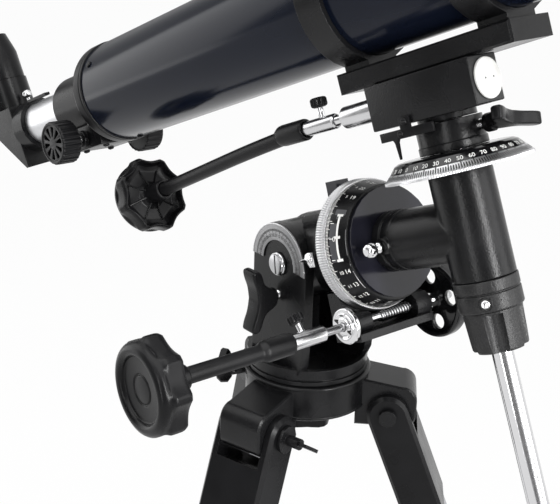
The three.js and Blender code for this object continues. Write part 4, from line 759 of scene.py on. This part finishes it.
def sleeveShape(low, high, inner, outer):
    return turned([(inner, low), (outer - 0.4, low), (outer, low + 0.5),
                   (outer, high - 0.9), (outer - 0.8, high),
                   (inner + 0.5, high), (inner, high - 0.4)], 72, 0.3)


thumbTurn = math.radians(25)
raThumb = along((-63, wormLine["n"], wormLine["z"]), (0, math.cos(thumbTurn), -math.sin(thumbTurn)))
piece("ra_sleeve_polished", [("satin", moved(sleeveShape(-84, -49.5, 2.8, 4.9), raLine))] + thumbScrew(raThumb),
      "polar", "ra_control", ["ra_sleeve"])

collarProfile = [(0, -149), (4.7, -149), (4.7, -97), (4.9, -95.4), (5.9, -93.6), (6.4, -92.2), (6.5, -90.6),
                 (6.5, -75), (6.1, -73.5), (5.2, -73.5), (5.2, -84.3), (0, -84.3)]
piece("ra_flexible_shaft", [("rubber", moved(turned(collarProfile, 72, 0.5), raLine))], "polar", "ra_control",
      ["ra_flex_shaft"])

knob = {"lobeDepth": 3.0, "lobes": 8, "steps": 192, "webs": 8}


def lobedRows(values, rows):
    result = []
    for reach, share, height in rounded(rows, 0.6, 2, math.pi * 2):
        row = []
        for k in range(values["steps"]):
            angle = 2 * math.pi * k / values["steps"]
            phase = abs((angle * values["lobes"] / (2 * math.pi) + 0.5) % 1 - 0.5)
            r = reach - values["lobeDepth"] * share * max(0, 1 - (phase / 0.42) ** 2)
            row.append(Vector((r * math.cos(angle), r * math.sin(angle), height)))
        result.append(row)
    return result


# Each row: reach, share of the lobes' depth, and height behind the face
knobRows = [(0.05, 0, -3.2), (7.4, 0, -3.2), (7.8, 0, -4.0), (8.5, 0, -4.0), (8.9, 0, -3.2), (17.7, 0, -3.2),
            (18.1, 0, -1.6), (18.8, 0, -0.7), (20.0, 0, -0.1), (21.8, 0, 0), (23.8, 0, -0.9), (25.2, 0, -2.8),
            (25.8, 0.15, -4.8), (26.6, 0.7, -6.0), (27.4, 1, -7.4), (27.5, 1, -9.0), (27.5, 1, -13.9),
            (27.1, 1, -16.0), (26.4, 1, -17.0), (25.7, 1, -17.2), (25.1, 1, -16.7), (24.6, 1, -15.4),
            (23.2, 0.8, -12.2), (18.5, 0.3, -10.4), (10, 0, -11.6), (7.8, 0, -13.6), (7, 0, -16),
            (7, 0, -28.7), (6.5, 0, -29.5), (5.3, 0, -29.5), (5.1, 0, -28.9), (5.1, 0, -24.2), (0.05, 0, -24.2)]


def knobParts(place):
    parts = [("plastic", moved(skinned(lobedRows(knob, knobRows)), place))]
    for i in range(knob["webs"]):
        web = extruded([(6.5, -15.4), (12, -12.6), (19.5, -11.3), (21.4, -10), (6.5, -9)], -0.5, 0.5, 0.2)
        turn = Matrix.Rotation(2 * math.pi * (i + 0.5) / knob["webs"], 4, "Z")
        stand = Matrix(((1, 0, 0), (0, 0, -1), (0, 1, 0))).to_4x4()
        parts.append(("plastic", moved(web, place @ turn @ stand)))
    return parts


raKnobPlace = raLine @ Matrix.Translation((0, 0, -173.3)) @ Matrix.Rotation(math.pi, 4, "X")
raKnobPlace = raKnobPlace @ Matrix.Rotation(math.radians(8), 4, "Z")
piece("ra_hand_knob", knobParts(raKnobPlace), "polar", "ra_control", ["ra_knob"], angle=60)

tilt = math.radians(5.3)
decKnobPlace = along((-275.2, -12, 60.5), (-math.cos(tilt), 0, -math.sin(tilt)), math.radians(12))
piece("dec_hand_knob", knobParts(decKnobPlace), "sight", "dec_knob", ["dec_knob"], angle=60)

wheel = {"holes": 4, "holeRadius": 4.75, "holeCircle": 14.5}
wheelRim = turned([(21.2, 38.2), (22.6, 38), (23.9, 38.5), (24.5, 40), (24.5, 45), (23.9, 46.5), (22.6, 47),
                   (21.2, 46.8)], 112, 0.6)
wheelHoles = [ringOutline(wheel["holeRadius"], 40, spot)
              for spot in ringOutline(wheel["holeCircle"], wheel["holes"])]
wheelWeb = plate([ringOutline(21.8, 96), *wheelHoles, ringOutline(4.2, 32)], 41, 44, 0.5)
wheelHub = turned([(2.8, 33), (4.4, 33), (5, 33.6), (5, 50.2), (4.2, 51), (2.8, 51)], 64, 0.4)
wheelCap = turned([(0, 50.6), (2.7, 50.6), (2.6, 52.2), (1.8, 53.2), (0, 53.5)], 40, 0.3)
wheelEdge = turned([(21.3, 46.7), (22.4, 46.95), (22.2, 46.5), (21.3, 46.2)], 112, 0.05)
piece("ra_hand_wheel_rimmed", [("glossBlack", moved(wheelWeb, raLine)), ("chrome", moved(wheelHub, raLine)),
                               ("glossBlack", moved(wheelRim, raLine)), ("chrome", moved(wheelCap, raLine)),
                               ("chrome", moved(wheelEdge, raLine))],
      "polar", "ra_control", ["ra_hand_wheel"])

# Declination sleeve, its flexible shaft and the worm's plain end
decThumb = along((-76.4, -14, 76), (0, 0, 1), 0.3)
decSleeve = [("satin", moved(sleeveShape(-98.6, -65.5, 3.15, 4.5), lineSight))]
piece("dec_sleeve_polished", decSleeve + thumbScrew(decThumb, base=3.3), "sight", "dec_control",
      ["dec_sleeve"])
decWormEnd = turned([(0, -84), (3, -84), (3, -59), (0, -59)], 48, 0.2, flatted(2.4))
decWormRest = turned([(0, -60), (3, -60), (3, 28), (0, 28)], 48, 0.2)
piece("dec_worm_rod", [("chrome", moved(decWormEnd, lineSight)), ("steel", moved(decWormRest, lineSight))],
      "sight", "dec_control", ["dec_worm"])
decRoute = smoothPath([(-99, -14, 75.6), (-112, -14, 74.8), (-150, -14, 72), (-195, -13.4, 67.9),
                       (-240, -12.2, 63.8), (-250.4, -12, 62.8)], 60)
decCollar = turned([(0, -116), (4.6, -116), (5.2, -114.8), (6.2, -112.8),
                    (6.5, -110.6), (6.5, -92.2), (6.1, -91),
                    (5, -91), (4.85, -91.6), (4.85, -98.9), (0, -98.9)], 72, 0.5)
piece("dec_flexible_shaft", [("rubber", swept(decRoute, 4.7, 40)), ("rubber", moved(decCollar, lineSight))],
      "sight", "sight", ["dec_flex_shaft"], angle=50)

# Clamp nut on the declination shaft, with five lobes and round grooves between them
nutLobes = {"count": 5, "turn": math.radians(18), "reach": 18.4, "radius": 6, "edge": 1.0}


def grooved(angle, reach, height):
    if reach < 11 or height > -44.2:
        return 1
    pitch = 2 * math.pi / nutLobes["count"]
    off = abs((angle - nutLobes["turn"] + pitch / 2) % pitch - pitch / 2)
    side = nutLobes["reach"] * math.sin(off)
    if side >= nutLobes["radius"]:
        return 1
    near = nutLobes["reach"] * math.cos(off) - math.sqrt(nutLobes["radius"] ** 2 - side ** 2)
    return min(1, near / reach)


nutLines = [(8, -42.7), (16.5, -42.7), (16.5, -43.9), (16.4, -44.4), (16.0, -52), (15.6, -60.6), (15.3, -64.2),
            (14.6, -65.2), (9.8, -66), (6.4, -66), (6.4, -60.1), (8, -60.1)]
lockNut = turned(nutLines, 360, 0.25, grooved)
piece("dec_clamp_nut", [("sandy", lockNut)], "sight", "sight", ["dec_lock_nut"], angle=30)

# Latitude scale, slotted bolt, clamp handle and pointer
print("altitude parts")
altitudeAt = (6, 0, 78)
scalePlace = onY(altitudeAt)
scale = {"inner": 15.4, "edge": 25.5, "outer": 26.4, "from": -4, "to": 178, "number": 3.0}


def fan(inner, outer, start, end, steps=48):
    a, b = math.radians(start), math.radians(end)
    return arcOutline((0, 0), outer, a, b, steps) + arcOutline((0, 0), inner, b, a, steps)


scaleFan = fan(scale["inner"], scale["outer"], scale["from"], scale["to"])
edgeFan = fan(scale["edge"], scale["outer"], scale["from"], scale["to"])
scaleParts = [("scale", moved(plate([scaleFan], 30.8, 31.55, 0.15), scalePlace)),
              ("steel", moved(plate([edgeFan], 31.3, 31.7, 0.12), scalePlace))]
flatScale = ConeBand((22.6, 31.62), (16.6, 31.62), 0)
flatScale.normal = Vector((0, 1))
ticks = []
for i in range(91):
    angle = math.radians(scale["from"] + 1 + 2 * i)
    ticks.append(flatScale.tick(angle, 0.32, 0, 0.44 if i % 5 == 0 else 0.24))
for i in range(19):
    value = str(90 - 10 * i if i < 10 else 10 * i - 90)
    ticks.append(flatScale.text(value, math.radians(scale["from"] + 1 + 10 * i), 0.66, scale["number"]))
scaleParts.append(("ink", moved(together(*ticks), scalePlace)))
piece("latitude_scale_plate", scaleParts, "deck", "fork", ["latitude_scale"])

boltHead = turned([(0, 30.8), (7.5, 30.8), (7.7, 31.2), (7.7, 32.3), (7.1, 32.9), (6.6, 33.0), (6.4, 33.8),
                   (0, 34)], 72, 0.15)
# The bolt's slot is not cut: a thin black ink strip across the steel head is painted shade in its place.
boltSlotShade = box((-0.6, -6.0, 33.9), (0.6, 6.0, 34.0), 0)
hexNut = turned([(0, 0), (7.7, 0), (7.7, 5.4), (7.0, 6), (0, 6)], 6, 0)
boltShank = turned([(0, -31), (4, -31), (4, 31.2), (0, 31.2)], 48, 0.1)
boltEnd = turned([(0, 0), (3.9, 0), (3.9, 8), (3.3, 8.8), (0, 9)], 40, 0.3)
slotTurn = Matrix.Rotation(math.radians(8), 4, "Z")
piece("altitude_bolt_slotted",
      [("steel", moved(boltHead, scalePlace)), ("ink", moved(boltSlotShade, scalePlace @ slotTurn)),
       ("steel", moved(boltShank, scalePlace)), ("steel", moved(hexNut, onY((6, 30.8, 78), 1))),
       ("steel", moved(boltEnd, onY((6, 30.8, 78), 1)))],
      "deck", "fork", ["altitude_bolt"])

clampPlace = onY((5, 0, 57))
handleShape = bowHandle(6)
handlePlace = Matrix.Translation((5, -45.3, 57)) @ Matrix(((0, 0, 1), (1, 0, 0), (0, 1, 0))).to_4x4()
clampThread = [(0, 24)]
for i in range(13):
    clampThread += [(2.6, 24.6 + i * 1.15), (3.05, 25.2 + i * 1.15)]
clampThread += [(2.6, 39.4), (0, 39.4)]
clampBoss = turned([(0, 33.4), (4.8, 33.4), (5.2, 34.2), (5.2, 38), (0, 38)], 48, 0.3)
piece("latitude_clamp_handle", [("chrome", moved(turned(clampThread, 40, 0.1), clampPlace)),
                                ("plastic", moved(handleShape, handlePlace)),
                                ("plastic", moved(clampBoss, clampPlace))],
      "deck", "latitude_clamp", ["latitude_clamp"], angle=50)

pointerOutline = [(-116, -2), (-109.6, -0.7), (-108.4, 1.6), (-106, 2.5), (-101, 2.5), (-101, -6.5),
                  (-106, -6.5), (-108.4, -5.6), (-109.6, -3.3)]
pointerPlace = Matrix(((0, 0, -1), (0, 1, 0), (1, 0, 0))).to_4x4()
pointerParts = [("chrome", moved(plate([pointerOutline], 31.9, 33.0, 0.25), pointerPlace)),
                ("chrome", box((-32.2, -6.5, -103.6), (-25.7, 2.5, -101), 0.5)),
                ("chrome", moved(turned([(0, 32.8), (1.9, 32.8), (1.9, 33.6), (1.2, 34.1), (0, 34.2)], 28, 0.2),
                                 pointerPlace @ Matrix.Translation((-103.8, -2, 0))))]
for n in (-5.4, 1.2):
    pointerParts.append(("chrome", moved(turned([(0, 32.6), (1.1, 32.6), (1.0, 33.4), (0, 33.7)], 20, 0.2),
                                         pointerPlace @ Matrix.Translation((-103.2, n, 0)))))
piece("latitude_pointer_needle", pointerParts, "polar", "polar", ["latitude_pointer"])


# Beads round the top and the foot of the hub's drum
hubBead = turned([(40.6, -3.0), (42.0, -3.0), (42.9, -2.3), (43.0, -1.4), (42.3, -0.5), (41.2, -0.3),
                  (40.6, -0.3)], 144, 0.3)
hubFoot = turned([(40.6, -24.0), (41.6, -24.0), (42.2, -23.4), (42.2, -22.2), (41.6, -21.7), (40.6, -21.7)],
                 144, 0.3)
piece("hub_beads", [("casting", hubBead), ("casting", hubFoot)], "deck", "tripod")


# Optical tube, rear cell and focuser
print("optical tube and focuser")
tubeLine = onX((0, 0, tubeHeight))
tubeShape = turned([(34.4, -280), (36, -280), (36, 330), (34.4, 330)], 180, 0.3)
piece("tube_shell", [("navy", moved(tubeShape, tubeLine))], "sight", "tube", ["optical_tube"])

rearLine = onX()
pinionAt = (-320.4, 0, -26.9)
pinionBearing = turned([(0, 17.6), (6.4, 17.6), (6.4, 20.4), (5.8, 21.2), (0, 21.2)], 56, 0.4)
cellLines = [(17.8, -345), (22.6, -345), (23.6, -344.4), (24, -343), (24, -297.2), (24.6, -296.2),
             (34.8, -292.4), (36.3, -291.4), (36.8, -290), (36.8, -283.4), (36.5, -283), (36.5, -282.4),
             (36.8, -282), (36.8, -280.3), (17.8, -280.3)]
cellParts = [("plastic", moved(turned(cellLines, 144, 0.4), rearLine)),
             ("plastic", box((-336, -18, -35), (-298, 18, -17.8), 1.2)),
             ("plastic", moved(pinionBearing, onY(pinionAt, -1))),
             ("plastic", moved(pinionBearing, onY(pinionAt, 1)))]
for u in (-331, -303):
    for v in (-11, 11):
        cellParts += screwHead((u, v, -35), (0, 0, -1), 2.4, 1.6, "plastic", 1)
for turn in (-58, 62, 182):
    side = math.radians(turn)
    outward = Vector((0, math.sin(side), math.cos(side)))
    cellParts += screwHead(outward * 36.0 - xAxis * 272, outward, 2.3, 1.0, "plastic")
piece("rear_cell_moulding", cellParts, "rear", "tube", ["rear_cell"])

focusWheel = {"ribs": 26, "ribDepth": 0.75, "slots": 10}


def ribbed(angle, reach, height):
    if reach < 15.2:
        return 1
    wave = 0.5 + 0.5 * math.cos(focusWheel["ribs"] * angle)
    return 1 - focusWheel["ribDepth"] / reach * min(1, max(0, 1.5 * wave - 0.2))


def focusKnobParts(side):
    place = onY(pinionAt, side)
    rim = turned([(13.4, 31), (14.8, 30), (15.7, 30.2), (16, 31), (16, 43.6), (15.7, 44.6), (14.8, 45.3),
                  (13.6, 45.3), (13.2, 44.7)], 208, 0.4, ribbed)
    slots = []
    for i in range(focusWheel["slots"]):
        a = 2 * math.pi * i / focusWheel["slots"]
        corners = ((4.6, -0.10), (11.8, -0.17), (12.3, 0), (11.8, 0.17), (4.6, 0.10))
        slots.append([(reach * math.cos(a + off), reach * math.sin(a + off)) for reach, off in corners])
    face = plate([ringOutline(13.7, 80), *slots], 42, 44.7, 0.3)
    back = turned([(0, 30.6), (14, 30.6), (14, 40), (0, 40)], 80, 0.3)
    shaft = turned([(0, 0), (3, 0), (3, 32), (0, 32)], 32, 0.2)
    return [("plastic", moved(rim, place)), ("plastic", moved(face, place)), ("ink", moved(back, place)),
            ("steel", moved(shaft, place))]


piece("focus_knob_pair", focusKnobParts(-1) + focusKnobParts(1), "rear", "focus_knobs",
      ["focus_pinion"])
drawShape = turned([(15.5, -402), (17.3, -402), (17.5, -401.6), (17.5, -262.4), (17.3, -262), (15.5, -262)],
                   128, 0.2)
piece("drawtube_bright", [("drawn", moved(drawShape, rearLine))], "rear", "drawtube",
      ["drawtube"])
ball = turned([(0, 19.4), (1.5, 19.4), (1.5, 24.2), (3.4, 25.2), (4.0, 27), (3.6, 28.9), (2.2, 30.2),
               (0, 30.5)], 40, 0.5)
ballTurn = math.radians(91)
ballPlace = along((-413, 0, 0), (0, math.cos(ballTurn), math.sin(ballTurn)))
piece("diagonal_thumbscrew", [("chrome", moved(ball, ballPlace))], "angled", "diagonal")

# Camera: the fitted viewpoint of the photograph
view = {"azimuth": math.radians(51.9), "elevation": math.radians(19.73), "roll": math.radians(1.11),
        "lens": 65.09, "place": (342.07, -400.17, 170.73)}


def placeCamera():
    azimuth, elevation, roll = view["azimuth"], view["elevation"], view["roll"]
    back = Vector((math.sin(azimuth) * math.cos(elevation), -math.cos(azimuth) * math.cos(elevation),
                   math.sin(elevation)))
    level = Vector((math.cos(azimuth), math.sin(azimuth), 0))
    raised = back.cross(level)
    right = level * math.cos(roll) + raised * math.sin(roll)
    up = raised * math.cos(roll) - level * math.sin(roll)
    data = bpy.data.cameras.new("photo_view")
    data.lens = view["lens"]
    data.sensor_width = 36
    data.sensor_fit = "HORIZONTAL"
    data.clip_start = 0.01
    data.clip_end = 60
    camera = bpy.data.objects.new("photo_view", data)
    basis = Matrix((right, up, back)).transposed().to_4x4()
    camera.matrix_world = Matrix.Translation(crossing + Vector(view["place"]) * unit) @ basis
    bpy.context.scene.collection.objects.link(camera)
    bpy.context.scene.camera = camera


placeCamera()

# Studio: pale floor, white surroundings for the lens and soft panels for the light
print("studio")
bpy.context.scene.view_settings.view_transform = "Standard"
studio = {"world": 0.32, "floor": 0.90, "floorShade": 0.84, "floorGlow": 0.96}
# Panels: direction from the object, distance, size and power
panels = {"overhead": ((0.1, -0.25, 1), 1.6, (2.2, 1.6), 26),
          "left_wall": ((-1, -0.55, 0.25), 1.7, (1.0, 1.8), 10),
          "right_wall": ((0.9, 0.6, 0.35), 1.7, (0.9, 1.6), 12),
          "strip": ((0.98, -0.02, 0.20), 2.1, (0.28, 1.7), 54),
          "side_strip": ((0.40, -0.91, 0.15), 2.1, (0.3, 1.6), 12)}


def seenDirectly(tree):
    rays = [Socket(tree).node("ShaderNodeLightPath", output=f"Is {kind} Ray")
            for kind in ("Camera", "Glossy", "Transmission")]
    return rays[0].maths("MAXIMUM", rays[0].maths("MAXIMUM", rays[0], rays[1]), rays[2])


world = bpy.data.worlds.new("studio")
world.use_nodes = True
bpy.context.scene.world = world
air = world.node_tree.nodes["Background"]
air.inputs["Color"].default_value = (1, 1, 1, 1)
glow = seenDirectly(world.node_tree).spread(0, 1, studio["world"], 1)
world.node_tree.links.new(glow.value, air.inputs["Strength"])

floorMesh = bpy.data.meshes.new("floor")
floorMesh.from_pydata([(-9, -9, 0), (9, -9, 0), (9, 9, 0), (-9, 9, 0)], [], [(0, 1, 2, 3)])
floor = bpy.data.objects.new("floor", floorMesh)
bpy.context.scene.collection.objects.link(floor)
floorFinish = Finish("studio_floor", Roughness=0.9)
floorTone = floorFinish.noise(3, 2).spread(0.3, 0.7)
floorFinish.set(Base_Color=floorTone.blend((studio["floorShade"],) * 3, (studio["floor"],) * 3))
white = floorFinish.base.node("ShaderNodeEmission", {"Color": (1, 1, 1)})
shaded = Socket(floorFinish.tree, floorFinish.shader.outputs[0])
seen = seenDirectly(floorFinish.tree) * studio["floorGlow"]
paper = floorFinish.base.node("ShaderNodeMixShader", {0: seen, 1: shaded, 2: white})
floorFinish.tree.links.new(paper.value, floorFinish.tree.nodes["Material Output"].inputs["Surface"])
floorMesh.materials.append(floorFinish.material)

# Grey wall on the camera's side of the studio, which the metal reflects
wall = {"reach": 3.4, "low": 0.0, "high": 2.8, "from": -215, "to": -22, "steps": 40, "tone": 0.5}
middle = crossing + Vector((-0.08, 0, -0.05))
wallPoints, wallFaces = [], []
for i in range(wall["steps"] + 1):
    turn = math.radians(wall["from"] + (wall["to"] - wall["from"]) * i / wall["steps"])
    x, y = middle.x + wall["reach"] * math.cos(turn), middle.y + wall["reach"] * math.sin(turn)
    wallPoints += [(x, y, wall["low"]), (x, y, wall["high"])]
for i in range(wall["steps"]):
    wallFaces.append((2 * i, 2 * i + 1, 2 * i + 3, 2 * i + 2))
wallMesh = bpy.data.meshes.new("studio_wall")
wallMesh.from_pydata(wallPoints, [], wallFaces)
wallFinish = Finish("studio_wall", Roughness=0.9)
wallTone = wallFinish.noise(2, 1).spread(0.3, 0.7)
wallFinish.set(Base_Color=wallTone.blend((wall["tone"] * 0.95,) * 3, (wall["tone"],) * 3))
wallMesh.materials.append(wallFinish.material)
studioWall = bpy.data.objects.new("studio_wall", wallMesh)
bpy.context.scene.collection.objects.link(studioWall)
studioWall.visible_camera = False
studioWall.visible_diffuse = False
studioWall.visible_shadow = False
studioWall.visible_transmission = False


def panel(name, direction, distance, size, power):
    data = bpy.data.lights.new(name, "AREA")
    data.shape = "RECTANGLE"
    data.size, data.size_y = size
    data.energy = power
    lamp = bpy.data.objects.new(name, data)
    aim = Vector(direction).normalized()
    lamp.matrix_world = along(middle + aim * distance, aim)
    bpy.context.scene.collection.objects.link(lamp)


for name, values in panels.items():
    panel(name, *values)
